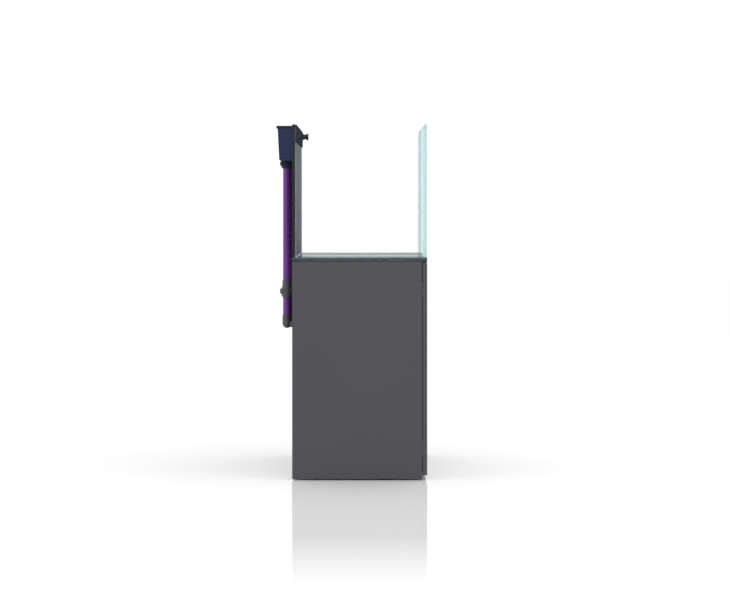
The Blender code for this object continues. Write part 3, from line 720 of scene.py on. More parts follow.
def clear_sealant(looks):
    """Cured clear silicone: a milky, rubbery fillet with a soft shine."""
    made, tree, shader = new_finish(
        "clear_silicone_sealant",
        {"IOR": 1.41, "Transmission Weight": 0.85, "Alpha": 0.4},
    )
    vary_colour(tree, shader, looks.glass.sealant, 0.03, 0.02)
    tree.links.new(wander(tree, 0.01, 0.25, 0.45), shader.inputs["Roughness"])
    # tooling by hand leaves long low ripples
    emboss(tree, shader, wander(tree, 0.02, 0, 1), 0.15 * MM)
    return made


def closed_cell_foam(looks):
    """Closed-cell foam: matt dark grey, with fine bubbles along its cut edges."""
    made, tree, shader = new_finish("closed_cell_foam", {"Specular IOR Level": 0.3})
    vary_colour(tree, shader, looks.glass.foam, 0.01, 0.2)
    tree.links.new(wander(tree, 0.02, 0.85, 0.98), shader.inputs["Roughness"])
    place = add_node(tree, "ShaderNodeTexCoord")
    cells = add_node(
        tree,
        "ShaderNodeTexVoronoi",
        {"Vector": place.outputs["Object"], "Scale": 1 / looks.glass.foam_cell},
    )
    emboss(tree, shader, cells.outputs["Distance"], 0.5 * MM)
    return made


def cast_acrylic(looks):
    """Cast acrylic sheet: deep navy, glossy, with a faint wave that bends its reflections."""
    made, tree, shader = new_finish("navy_cast_acrylic", {"IOR": 1.49, "Specular IOR Level": 0.35})
    vary_colour(tree, shader, looks.overflow.acrylic, 0.12, 0.05)
    tree.links.new(wander(tree, 0.05, 0.14, 0.22), shader.inputs["Roughness"])
    emboss(tree, shader, wander(tree, 0.03, 0, 1), 0.05 * MM)
    return made


def lid_acrylic(looks):
    """Cast acrylic lid: nearly black, satin-faced against reflections."""
    made, tree, shader = new_finish("satin_black_acrylic", {"IOR": 1.49, "Specular IOR Level": 0.3})
    vary_colour(tree, shader, looks.overflow.lid, 0.10, 0.08)
    tree.links.new(wander(tree, 0.04, 0.34, 0.44), shader.inputs["Roughness"])
    emboss(tree, shader, wander(tree, 0.6 * MM, 0, 1), 0.01 * MM)
    return made


def moulded_black(looks):
    """Moulded black ABS: a dull sheen, with the fine spark-eroded grain of its mould."""
    made, tree, shader = new_finish("moulded_black_abs", {"IOR": 1.53, "Specular IOR Level": 0.1})
    vary_colour(tree, shader, looks.overflow.plastic, 0.02, 0.10)
    tree.links.new(wander(tree, 0.01, 0.36, 0.48), shader.inputs["Roughness"])
    # real grain is about 0.1 mm wide, drawn four times as coarse so that it shows
    emboss(tree, shader, wander(tree, 0.4 * MM, 0, 1), 0.03 * MM)
    return made


def matt_black(looks):
    """The comb's matt black ABS: coarsely grained, so it stays dark even seen along its face."""
    made, tree, shader = new_finish("matt_black_abs", {"IOR": 1.53, "Specular IOR Level": 0.0})
    vary_colour(tree, shader, looks.overflow.plastic, 0.03, 0.06)
    tree.links.new(wander(tree, 0.02, 0.6, 0.7), shader.inputs["Roughness"])
    emboss(tree, shader, wander(tree, 1.2 * MM, 0, 1), 0.03 * MM)
    return made


def extruded_pipe(looks):
    """Extruded purple PVC: glossy, with fine die lines along the pipe."""
    made, tree, shader = new_finish("extruded_purple_pvc", {"IOR": 1.53, "Specular IOR Level": 0.35})
    vary_colour(tree, shader, looks.plumbing.pipe, 0.004, 0.10, (1, 1, 0.02))
    tree.links.new(wander(tree, 0.02, 0.24, 0.34), shader.inputs["Roughness"])
    emboss(tree, shader, wander(tree, 1.5 * MM, 0, 1, (1, 1, 0.01)), 0.03 * MM)
    return made


def moulded_fitting(looks):
    """Moulded grey PVC: dark, with faint cloudy flow marks and a soft shine."""
    made, tree, shader = new_finish("moulded_grey_pvc", {"IOR": 1.53})
    vary_colour(tree, shader, looks.plumbing.fitting, 0.015, 0.10)
    tree.links.new(wander(tree, 0.01, 0.32, 0.42), shader.inputs["Roughness"])
    emboss(tree, shader, wander(tree, 0.8 * MM, 0, 1), 0.03 * MM)
    return made


def nickel_plate(looks):
    """Nickel-plated pressed steel: warm bright metal with fine tumbling marks."""
    made, tree, shader = new_finish("nickel_plated_steel", {"Metallic": 1.0})
    vary_colour(tree, shader, looks.cabinet.plate, 0.02, 0.04)
    tree.links.new(wander(tree, 0.004, 0.20, 0.34), shader.inputs["Roughness"])
    emboss(tree, shader, wander(tree, 1.0 * MM, 0, 1, (1, 4, 1)), 0.01 * MM)
    return made


def gasket_rubber(looks):
    """Moulded EPDM rubber: matt black with a dusty bloom."""
    made, tree, shader = new_finish("epdm_rubber", {"Specular IOR Level": 0.35})
    vary_colour(tree, shader, looks.plumbing.rubber, 0.006, 0.25)
    tree.links.new(wander(tree, 0.004, 0.7, 0.9), shader.inputs["Roughness"])
    emboss(tree, shader, wander(tree, 0.5 * MM, 0, 1), 0.04 * MM)
    return made


def soft_bumper(looks):
    """Clear polyurethane: a small glassy dome, slightly frosted."""
    made, tree, shader = new_finish(
        "clear_polyurethane", {"Base Color": (0.9, 0.92, 0.92, 1), "IOR": 1.5, "Transmission Weight": 0.9}
    )
    tree.links.new(wander(tree, 0.002, 0.08, 0.2), shader.inputs["Roughness"])
    return made


def studio_floor(looks):
    """Pale polished floor: an even mirror gloss round the stand, which fades further out."""
    made, tree, shader = new_finish(
        "studio_floor", {"Base Color": (*looks.stage.floor, 1), "Roughness": 1.0, "Specular IOR Level": 0.0}
    )
    half = ((CAD_HIGH.x - CAD_LOW.x) / 2, (CAD_HIGH.y - CAD_LOW.y) / 2, 0)
    place = add_node(tree, "ShaderNodeTexCoord")
    side = add_node(tree, "ShaderNodeVectorMath", {0: place.outputs["Object"]}, operation="ABSOLUTE")
    past = add_node(
        tree, "ShaderNodeVectorMath", {0: side.outputs["Vector"], 1: half}, operation="SUBTRACT"
    )
    away = add_node(
        tree, "ShaderNodeVectorMath", {0: past.outputs["Vector"], 1: (0, 0, 0)}, operation="MAXIMUM"
    )
    far = add_node(tree, "ShaderNodeVectorMath", {0: away.outputs["Vector"]}, operation="LENGTH")
    fade = add_node(
        tree,
        "ShaderNodeMapRange",
        {"Value": far.outputs["Value"], "From Min": looks.stage.shine_even,
         "From Max": looks.stage.shine_reach, "To Min": looks.stage.shine, "To Max": 0.0},
    )
    mirror = add_node(tree, "ShaderNodeBsdfGlossy", {"Color": (1, 1, 1, 1), "Roughness": 0.02})
    mixed = add_node(
        tree,
        "ShaderNodeMixShader",
        {"Fac": fade.outputs["Result"], 1: shader.outputs["BSDF"], 2: mirror.outputs["BSDF"]},
    )
    tree.links.new(mixed.outputs["Shader"], tree.nodes["Material Output"].inputs["Surface"])
    return made


MADE_FINISHES = {}


class Looks:
    """The scene's settings, and each finish made from them once."""

    def __init__(self, scene):
        self.cabinet = scene.aquarium_cabinet
        self.glass = scene.aquarium_glass
        self.overflow = scene.aquarium_overflow
        self.plumbing = scene.aquarium_plumbing
        self.stage = scene.aquarium_stage

    def finish(self, maker):
        name = maker.__name__
        if name not in MADE_FINISHES:
            MADE_FINISHES[name] = maker(self)
        return MADE_FINISHES[name]


# ---- operators ----------------------------------------------------------------------------
class AQUARIUM_OT_stage(bpy.types.Operator):
    """Lay the floor, set the lamps and place the camera"""

    bl_idname = "aquarium.stage"
    bl_label = "Floor, lamps and camera"
    bl_options = {"REGISTER", "UNDO"}

    def execute(self, context):
        looks = Looks(context.scene)
        start_add()
        bpy.ops.mesh.primitive_plane_add(size=FLOOR_SIZE, location=(0, 0, 0))
        floor = fresh("studio_floor")
        floor.data.materials.append(looks.finish(studio_floor))

        scene = bpy.context.scene
        scene.view_settings.view_transform = "Standard"
        sky = bpy.data.worlds.new("white_studio")
        sky.use_nodes = True
        background = sky.node_tree.nodes["Background"]
        background.inputs["Color"].default_value = (1, 1, 1, 1)
        background.inputs["Strength"].default_value = looks.stage.daylight
        scene.world = sky

        lamps = (  # name, place, side in metres, power in watts
            ("overhead_softbox", (-1.5, -1.0, 4.5), 4.0, 20),
            ("front_softbox", (-3.5, -5.0, 3.0), 3.0, 14),
            ("rear_softbox", (-2.5, 5.0, 3.0), 3.0, 9),
        )
        for name, place, size, power in lamps:
            bpy.ops.object.light_add(type="AREA", location=place)
            lamp = bpy.context.active_object
            lamp.name = lamp.data.name = name
            lamp.data.size = size
            lamp.data.energy = power
            aim = LAMP_AIM - Vector(place)
            lamp.rotation_euler = aim.to_track_quat("-Z", "Y").to_euler()

        bpy.ops.object.camera_add(
            location=(CAD_LOW.x - looks.stage.distance, looks.stage.aside, looks.stage.height),
            rotation=(math.radians(90), 0, math.radians(-90)),
        )
        camera = bpy.context.active_object
        camera.data.lens = looks.stage.lens
        camera.data.shift_x, camera.data.shift_y = CAMERA_SHIFT
        camera.data.clip_end = CAMERA_REACH
        scene.camera = camera
        return {"FINISHED"}


class AQUARIUM_OT_boards(bpy.types.Operator):
    """Make the cabinet's fixed boards, with rounded arrises, foot bores and cam caps"""

    bl_idname = "aquarium.boards"
    bl_label = "Cabinet boards"
    bl_options = {"REGISTER", "UNDO"}

    def execute(self, context):
        looks = Looks(context.scene)
        cabinet = looks.cabinet
        lacquer = looks.finish(satin_lacquer)
        plain = ("base_panel", "top_panel", "back_left_panel", "back_right_panel", "back_top_rail",
                 "front_rail")
        for node in plain:
            board = round_edges(slab(f"{node}_board", *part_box(node)), cabinet.board_arris, FINE_EASE_STEPS)
            stand_for(shaded(board), node, lacquer)
        for side in SIDES:
            node = f"{side}_side_panel"
            board = slab(f"{node}_board", *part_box(node))
            for level in FOOT_PLACES:
                low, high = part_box(f"{side}_{level}_foot")
                middle = (low + high) / 2
                carve(board, drum("stem_bore", (middle.x, middle.y, 0), STEM_RADIUS + FIT,
                                  2 * (high.z + FIT), steps=TINY_STEPS))
            stand_for(shaded(round_edges(board, cabinet.board_arris, FINE_EASE_STEPS)), node, lacquer)
        self.add_caps(looks)
        return {"FINISHED"}

    def add_caps(self, looks):
        """Cam-lock caps in the corners of the base and under the top, near the side panels."""
        cabinet = looks.cabinet
        low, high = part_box("base_panel")
        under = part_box("top_panel")[0].z
        rise = cabinet.cap_height
        profile = [(0, 0), (cabinet.cap_radius, 0), (cabinet.cap_radius - rise / 2, rise), (0, rise)]
        caps = []
        for sign in SIDES.values():
            for y in (low.y + CAP_INSET, high.y - CAP_INSET):
                x = sign * (high.x - CAP_INSET)
                for name, z, way in (("base", high.z + FIT, 1), ("top", under - FIT, -1)):
                    points = [(radius, way * height) for radius, height in profile]
                    caps.append(turned(name, points, (x, y, z), closed=False, steps=SMALL_STEPS))
        caps = shaded(joined("cam_lock_caps", *caps))
        hand_over(caps, looks.finish(moulded_black), "root")


class AQUARIUM_OT_doors(bpy.types.Operator):
    """Make the two doors, bored for their hinge cups, with soft stops behind them"""

    bl_idname = "aquarium.doors"
    bl_label = "Doors"
    bl_options = {"REGISTER", "UNDO"}

    def execute(self, context):
        looks = Looks(context.scene)
        cabinet = looks.cabinet
        for side, sign in SIDES.items():
            node = f"{side}_door"
            low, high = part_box(node)
            door = slab(f"{node}_leaf", low, high)
            for level in HINGE_LEVELS:
                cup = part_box(f"{side}_{level}_hinge_cup")
                middle = (cup[0] + cup[1]) / 2
                depth = 2 * (high.y - cup[0].y + FIT)
                mouth = (middle.x, high.y, middle.z)
                carve(door, drum("cup_bore", mouth, CUP_RADIUS + FIT, depth, Y, MEDIUM_STEPS))
            door = shaded(round_edges(door, cabinet.board_arris, FINE_EASE_STEPS))
            stand_for(door, node, looks.finish(satin_lacquer))
            meeting = low.x if sign > 0 else high.x
            radius = cabinet.bumper_radius
            profile = [(0, 0), (radius, 0), (radius * 0.85, radius * 0.3), (radius * 0.4, radius * 0.5),
                       (0, radius * 0.52)]
            stops = [
                turned("stop", profile, (meeting + sign * BUMPER_INSET, high.y + FIT, z), "Y", False,
                       ease=0.8 * MM, steps=TINY_STEPS)
                for z in (low.z + 1.6 * BUMPER_INSET, high.z - BUMPER_INSET)
            ]
            hand_over(shaded(joined(f"{side}_door_stops", *stops)), looks.finish(soft_bumper), node)
        return {"FINISHED"}


def screw_head(radius, height):
    """A pan head with a cross recess, facing up from the origin. It is copied, then removed."""
    profile = [(0, 0), (radius, 0), (radius, height * 0.35), (radius * 0.7, height * 0.9), (0, height)]
    head = turned("screw_head", profile, (0, 0, 0), closed=False, ease=0.4 * MM, steps=TINY_STEPS)
    arm, half, deep = radius * 0.55, radius * 0.12, height * 0.55
    one = slab("slot", (-arm, -half, height - deep), (arm, half, 2 * height))
    two = slab("slot", (-half, -arm, height - deep), (half, arm, 2 * height))
    return carve(head, one, two)


def placed(template, name, place, axis):
    """A copy of a template, turned to face along axis and set down at place."""
    turn = Z.rotation_difference(axis).to_matrix().to_4x4()
    twin = copied(template, name)
    twin.data.transform(Matrix.Translation(place) @ turn)
    return twin


class AQUARIUM_OT_hinges(bpy.types.Operator):
    """Make the concealed hinges: pressed cups with ears, and arms on mounting plates"""

    bl_idname = "aquarium.hinges"
    bl_label = "Hinges"
    bl_options = {"REGISTER", "UNDO"}

    def execute(self, context):
        looks = Looks(context.scene)
        nickel = looks.finish(nickel_plate)
        head = screw_head(looks.cabinet.screw_radius, looks.cabinet.screw_height)
        for level in HINGE_LEVELS:
            cup = self.make_cup(f"left_{level}_hinge_cup", head)
            arm = self.make_arm(f"left_{level}_hinge_arm", head)
            for piece, kind in ((cup, "cup"), (arm, "arm")):
                twin = copied(piece, f"right_{level}_hinge_{kind}_pressed", mirrored=True)
                stand_for(shaded(twin), f"right_{level}_hinge_{kind}", nickel)
                stand_for(shaded(piece), f"left_{level}_hinge_{kind}", nickel)
        bpy.data.objects.remove(head)
        return {"FINISHED"}

    def make_cup(self, node, head):
        """A deep round bowl under a flange with two screwed ears, crossed by its link's pin."""
        low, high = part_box(node)
        middle = (low + high) / 2
        back = high.y - CUP_FLANGE  # the flange's underside, on the door's back
        place = Vector((middle.x, back, middle.z))
        floor = low.y - back
        rim = (high.x - low.x) / 2
        bowl = CUP_RADIUS - CUP_WALL
        profile = [(0, floor), (CUP_RADIUS, floor), (CUP_RADIUS, 0), (rim, 0), (rim, CUP_FLANGE),
                   (bowl, CUP_FLANGE), (bowl, floor + CUP_WALL), (0, floor + CUP_WALL)]
        cup = turned("cup", profile, place, "Y", False, ease=0.5 * MM, steps=MEDIUM_STEPS)
        tall, wide = CUP_EAR_REACH, CUP_EAR_WIDTH / 2
        ear = [(middle.x - wide, middle.z - tall), (middle.x + wide, middle.z - tall),
               (middle.x + wide, middle.z + tall), (middle.x - wide, middle.z + tall)]
        ears = plate("ears", ear, "XZ", back, CUP_EAR_SHEET, ease=CUP_EAR_CORNER)
        carve(ears, drum("bowl_mouth", place, bowl + CUP_WALL / 2, 4 * CUP_FLANGE, Y, MEDIUM_STEPS))
        pin = drum("pin", place + Y * floor * 0.45, PIN_RADIUS, 2 * bowl - PIN_PLAY, Z, TINY_STEPS)
        link_low = place + Vector((-LINK_ASIDE, floor + CUP_WALL, -LINK_SIZE.z / 2))
        link = round_edges(slab("link", link_low, link_low + LINK_SIZE), 1.2 * MM)
        screws = [
            placed(head, "screw", (middle.x, back + CUP_EAR_SHEET, middle.z + way * CUP_SCREW), Y)
            for way in (-1, 1)
        ]
        return joined(f"{node}_pressed", cup, ears, pin, link, *screws)

    def make_arm(self, node, head):
        """A channel-shaped arm on a rounded mounting plate, with its adjusting screws."""
        low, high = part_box(node)
        middle = (low + high) / 2
        face, front, rear = low.x, low.y, high.y
        base_front = front + ARM_BASE_START
        base_low, base_high = middle.z - ARM_BASE_HALF, middle.z + ARM_BASE_HALF
        base = [(base_front, base_low), (rear, base_low), (rear, base_high), (base_front, base_high)]
        base = round_edges(plate("base", base, "YZ", face, ARM_BASE, ease=ARM_BASE_CORNER), 0.4 * MM)
        reach = high.x - face
        top = rear - ARM_TOE
        knee = (front + rear) / 2
        outline = [(face + ARM_BASE, top), (face + ARM_BASE, base_front + ARM_TOE),
                   (face + ARM_HEEL, front), (face + reach, front), (face + reach, knee),
                   (face + ARM_TOE, top)]
        arm = plate("arm", outline, "XY", middle.z - ARM_WIDTH / 2, ARM_WIDTH, ease=ARM_CORNER)
        arm = round_edges(arm, 1.0 * MM)
        slot_low = (face + reach - ARM_SLOT_DEEP, front + ARM_TOE, middle.z - ARM_SLOT_HALF)
        slot_high = (face + reach + 1 * MM, knee - ARM_BASE_START, middle.z + ARM_SLOT_HALF)
        carve(arm, round_edges(slab("slot", slot_low, slot_high), 1.2 * MM))
        screws = [placed(head, "screw", (face + reach - 0.8 * MM, knee - 5 * MM, middle.z), X)]
        screws += [
            placed(head, "screw", (face + ARM_BASE, base_front + 4.5 * MM, middle.z + way * 6 * MM), X)
            for way in (-1, 1)
        ]
        return joined(f"{node}_pressed", base, arm, *screws)


class AQUARIUM_OT_latch(bpy.types.Operator):
    """Make the push latch: a moulded body with two rounded plungers"""

    bl_idname = "aquarium.latch"
    bl_label = "Push latch"
    bl_options = {"REGISTER", "UNDO"}

    def execute(self, context):
        looks = Looks(context.scene)
        black = looks.finish(moulded_black)
        low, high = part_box("latch_housing")
        body = round_edges(slab("latch_housing_moulded", low, high), LATCH_CORNER, FINE_EASE_STEPS)
        for side in SIDES:
            tip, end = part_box(f"{side}_latch_plunger")
            middle = (tip + end) / 2
            radius = (end.x - tip.x) / 2
            depth = 2 * (end.y - low.y + FIT)
            mouth = (middle.x, low.y, middle.z)
            carve(body, drum("plunger_bore", mouth, radius + FIT, depth, Y, SMALL_STEPS))
            long = end.y - tip.y
            nose = long * 0.05
            profile = [(0, 0), (radius * 0.75, 0), (radius, nose), (radius, 2 * nose),
                       (radius * 0.85, 2.2 * nose), (radius * 0.85, 2.8 * nose), (radius, 3 * nose),
                       (radius, long), (0, long)]
            plunger = turned(f"{side}_latch_plunger_rod", profile, (middle.x, tip.y, middle.z), "Y", False,
                             ease=PLUNGER_CORNER, steps=SMALL_STEPS)
            stand_for(shaded(plunger), f"{side}_latch_plunger", black)
        stand_for(shaded(body), "latch_housing", black)
        head = screw_head(looks.cabinet.screw_radius * 0.8, looks.cabinet.screw_height * 0.7)
        screws = [
            placed(head, "screw", ((low.x + high.x) / 2, low.y + (high.y - low.y) * part, low.z), -Z)
            for part in (0.25, 0.75)
        ]
        bpy.data.objects.remove(head)
        hand_over(shaded(joined("latch_screws", *screws)), looks.finish(nickel_plate), "root")
        return {"FINISHED"}


class AQUARIUM_OT_feet(bpy.types.Operator):
    """Make the six levelling feet, with grips round their rims"""

    bl_idname = "aquarium.feet"
    bl_label = "Levelling feet"
    bl_options = {"REGISTER", "UNDO"}

    def execute(self, context):
        looks = Looks(context.scene)
        flutes = looks.cabinet.flutes
        for side in SIDES:
            for level in FOOT_PLACES:
                node = f"{side}_{level}_foot"
                low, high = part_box(node)
                middle = (low + high) / 2
                radius = (high.x - low.x) / 2 - FLUTE
                profile = [(0, 0), (radius - FOOT_CHAMFER, 0), (radius, FOOT_CHAMFER), (radius, FOOT_HEIGHT),
                           (STEM_RADIUS, FOOT_HEIGHT), (STEM_RADIUS, high.z), (0, high.z)]
                foot = turned(f"{node}_glide", profile, (middle.x, middle.y, 0), closed=False, ease=0.4 * MM,
                              steps=4 * flutes)
                ribbed(foot, (middle.x, middle.y, 0), 1.6 * MM, FOOT_HEIGHT, radius * 0.95, flutes, FLUTE)
                stand_for(shaded(foot), node, looks.finish(moulded_black))
        return {"FINISHED"}


class AQUARIUM_OT_mat(bpy.types.Operator):
    """Cut the foam mat that levels the tank on its stand"""

    bl_idname = "aquarium.mat"
    bl_label = "Foam mat"
    bl_options = {"REGISTER", "UNDO"}

    def execute(self, context):
        looks = Looks(context.scene)
        mat = round_edges(slab("foam_mat_sheet", *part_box("foam_mat")), MAT_CORNER, FINE_EASE_STEPS)
        stand_for(shaded(mat), "foam_mat", looks.finish(closed_cell_foam))
        return {"FINISHED"}


class AQUARIUM_OT_panes(bpy.types.Operator):
    """Cut the five panes, grind their arrises, and notch and bore the rear one"""

    bl_idname = "aquarium.panes"
    bl_label = "Glass panes"
    bl_options = {"REGISTER", "UNDO"}

    def execute(self, context):
        looks = Looks(context.scene)
        arris = looks.glass.arris
        # the edge finishes are painted light: a painted glow on the walls' edges, a painted pale-to-dark
        # gradient on the bottom pane's edge
        clear = (("bottom_pane", Z, base_glass, base_edge_painted_shade), ("front_pane", Y, float_glass, painted_edge_glow),
                 ("left_pane", X, float_glass, painted_edge_glow), ("right_pane", X, float_glass, painted_edge_glow))
        for node, across, sheet, edge in clear:
            pane = round_edges(slab(f"{node}_glass", *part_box(node)), arris, 1)
            stand_for(pane, node, looks.finish(sheet))
            edged(pane, across, looks.finish(edge))
        low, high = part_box("rear_pane")
        rear = slab("rear_pane_glass", low, high)
        past = high.y - low.y
        notch = slab("notch", (NOTCH_LEFT, low.y - past, high.z - NOTCH_DEPTH),
                     (NOTCH_RIGHT, high.y + past, high.z + past))
        collar_low, collar_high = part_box("nozzle_collar")
        middle = (collar_low + collar_high) / 2
        mouth = (middle.x, high.y, middle.z)
        bore = drum("nozzle_bore", mouth, SPIGOT_RADIUS + FIT, 4 * past, Y, MEDIUM_STEPS)
        carve(rear, notch, bore)
        stand_for(round_edges(rear, arris, 1), "rear_pane", looks.finish(backed_glass))
        edged(rear, Y, looks.finish(backed_edge))
        return {"FINISHED"}


class AQUARIUM_OT_silicone(bpy.types.Operator):
    """Run a hollow-faced bead of sealant round the bottom and up the four corners"""

    bl_idname = "aquarium.silicone"
    bl_label = "Silicone beads"
    bl_options = {"REGISTER", "UNDO"}

    def execute(self, context):
        looks = Looks(context.scene)
        low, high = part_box("silicone_seam")
        middle = (low + high) / 2
        half = (high - low) / 2
        centre = Vector((middle.x, middle.y, low.z))

        def bow(step):
            """A point on the bead's hollow face: how far it stands out from each wall."""
            angle = math.pi / 2 * step / BEAD_STEPS
            return BEAD - BEAD * math.cos(angle), BEAD - BEAD * math.sin(angle)

        section = [bow(step) for step in range(BEAD_STEPS + 1)]
        start_add()
        bpy.ops.mesh.primitive_plane_add(size=1, location=centre + Z * section[0][1])
        bead = fresh("silicone_beads")
        pick(bead, lambda at, normal: True)
        bpy.ops.transform.resize(value=(2 * half.x, 2 * half.y, 1), center_override=centre)
        bpy.ops.mesh.delete(type="ONLY_FACE")
        bpy.ops.mesh.select_mode(type="EDGE")
        bpy.ops.mesh.select_all(action="SELECT")
        inset, height = section[0]
        for next_inset, next_height in section[1:] + [(0, 0), section[0]]:
            pull_ring((0, 0, next_height - height))
            ratio = [(side - next_inset) / (side - inset) for side in (half.x, half.y)]
            bpy.ops.transform.resize(value=(*ratio, 1), center_override=centre)
            inset, height = next_inset, next_height
        tidy(bead)
        uprights = []
        for x_sign in (-1, 1):
            for y_sign in (-1, 1):
                corner = (middle.x + x_sign * half.x, middle.y + y_sign * half.y)
                outline = [(corner[0] - x_sign * a, corner[1] - y_sign * b)
                           for a, b in [(0, 0)] + section[::-1]]
                uprights.append(plate("upright", outline, "XY", low.z, high.z - low.z))
        bead = joined("silicone_beads", bead, *uprights)
        stand_for(shaded(bead), "silicone_seam", looks.finish(clear_sealant))
        return {"FINISHED"}


def box_rear(z):
    """Outer face of the overflow box's leaning rear wall, at height z."""
    low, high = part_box("box_rear_wall")
    lean = (high.y - low.y - BOX_WALL) / (high.z - low.z)
    return high.y - lean * (high.z - z)


class AQUARIUM_OT_overflow_box(bpy.types.Operator):
    """Weld up the overflow box from its floor, leaning rear wall and two ends"""

    bl_idname = "aquarium.overflow_box"
    bl_label = "Overflow box"
    bl_options = {"REGISTER", "UNDO"}

    def execute(self, context):
        looks = Looks(context.scene)
        acrylic = looks.finish(cast_acrylic)
        edge = looks.overflow.edge
        low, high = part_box("box_floor")
        foot = box_rear(low.z)
        outline = [(low.y, low.z), (foot - BOX_CHAMFER, low.z), (foot, low.z + BOX_CHAMFER),
                   (high.y, high.z), (low.y, high.z)]
        floor = plate("box_floor_sheet", outline, "YZ", low.x, high.x - low.x)
        for line in LINES:
            flange_low, flange_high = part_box(f"{line}_bulkhead")
            middle = (flange_low + flange_high) / 2
            radius = (flange_high.x - flange_low.x) / 2 - FLANGE_LIP + FIT
            carve(floor, drum("bulkhead_hole", (middle.x, middle.y, middle.z), radius, 1.0))
        stand_for(shaded(round_edges(floor, edge)), "box_floor", acrylic)

        low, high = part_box("box_rear_wall")
        outline = [(low.y, low.z), (low.y + BOX_WALL, low.z), (high.y, high.z), (high.y - BOX_WALL, high.z)]
        wall = plate("box_rear_wall_sheet", outline, "YZ", low.x, high.x - low.x)
        step = low.z + BOX_STEP
        bottom = box_rear(step) - BOX_GROOVE
        carve(wall, slab("groove", (low.x - GROOVE_CUTTER, bottom, step),
                         (high.x + GROOVE_CUTTER, bottom + GROOVE_CUTTER, step + GROOVE_WIDTH)))
        stand_for(shaded(round_edges(wall, edge, 1)), "box_rear_wall", acrylic)

        for side, sign in SIDES.items():
            node = f"box_{side}_end"
            low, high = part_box(node)
            inside = box_rear(low.z) - BOX_WALL - FIT
            outline = [(low.y, low.z), (inside, low.z), (high.y, high.z), (low.y, high.z)]
            end = plate(f"{node}_sheet", outline, "YZ", low.x, high.x - low.x)
            outer = low.x if sign < 0 else high.x
            across = sorted((outer - sign * BOX_GROOVE, outer + sign * GROOVE_CUTTER))
            carve(end, slab("groove", (across[0], low.y - GROOVE_CUTTER, step),
                            (across[1], high.y + GROOVE_CUTTER, step + GROOVE_WIDTH)))
            stand_for(shaded(round_edges(end, edge, 1)), node, acrylic)
        return {"FINISHED"}


class AQUARIUM_OT_lid(bpy.types.Operator):
    """Make the overflow box's lid, hollow below and rounded above, and its knob"""

    bl_idname = "aquarium.lid"
    bl_label = "Lid and knob"
    bl_options = {"REGISTER", "UNDO"}

    def execute(self, context):
        looks = Looks(context.scene)
        overflow = looks.overflow
        low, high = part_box("box_lid")
        lid = slab("box_lid_cover", low, high)
        pick(lid, lambda centre, normal: normal.z < -0.9)
        bpy.ops.mesh.inset(thickness=LID_RIM)
        bpy.ops.mesh.inset(thickness=1 * MM, depth=-overflow.lid_pocket)
        bpy.ops.object.mode_set(mode="OBJECT")
        pick(lid, lambda centre, way: centre.z > high.z - WELD, "EDGE")
        bpy.ops.mesh.bevel(offset=overflow.lid_edge, segments=4, affect="EDGES")
        bpy.ops.object.mode_set(mode="OBJECT")
        stand_for(shaded(round_edges(lid, 0.5 * MM)), "box_lid", looks.finish(lid_acrylic))

        low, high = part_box("lid_knob")
        middle = (low + high) / 2
        tall, radius = high.z - low.z, (high.x - low.x) / 2
        profile = [(0, 0), (0.7 * radius, 0), (0.62 * radius, 0.35 * tall), (radius, 0.55 * tall),
                   (radius, 0.85 * tall), (0.7 * radius, tall), (0, 0.94 * tall)]
        knob = turned("lid_knob_turned", profile, (middle.x, middle.y, low.z), closed=False, ease=0.7 * MM,
                      steps=MEDIUM_STEPS)
        stand_for(shaded(knob), "lid_knob", looks.finish(moulded_black))
        return {"FINISHED"}


class AQUARIUM_OT_weir_comb(bpy.types.Operator):
    """Mould the slotted weir comb, its teeth rounded top and bottom"""

    bl_idname = "aquarium.weir_comb"
    bl_label = "Weir comb"
    bl_options = {"REGISTER", "UNDO"}

    def execute(self, context):
        looks = Looks(context.scene)
        low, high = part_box("weir_comb")
        collar_low, collar_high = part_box("nozzle_collar")
        middle = (collar_low + collar_high) / 2
        bridge = (collar_high.x - collar_low.x) / 2 + 3 * FIT
        outline = [(low.x, low.z), (middle.x - bridge, low.z), (middle.x - bridge, middle.z + bridge),
                   (middle.x + bridge, middle.z + bridge), (middle.x + bridge, low.z), (high.x, low.z),
                   (high.x, high.z)]
        count = int((NOTCH_RIGHT - NOTCH_LEFT) / COMB_PITCH) - 1
        first = (NOTCH_LEFT + NOTCH_RIGHT) / 2 - (count - 1) * COMB_PITCH / 2
        deep = high.z - COMB_SLOT_DEPTH
        for index in reversed(range(count)):
            x = first + index * COMB_PITCH
            right, left = x + COMB_SLOT / 2, x - COMB_SLOT / 2
            outline += [(right, high.z), (right, deep), (left, deep), (left, high.z)]
        outline.append((low.x, high.z))
        comb = plate("weir_comb_moulded", outline, "XZ", low.y, high.y - low.y, ease=1.6 * MM)
        comb = round_edges(comb, looks.overflow.comb_edge, 1)
        stand_for(shaded(comb), "weir_comb", looks.finish(matt_black))
        return {"FINISHED"}


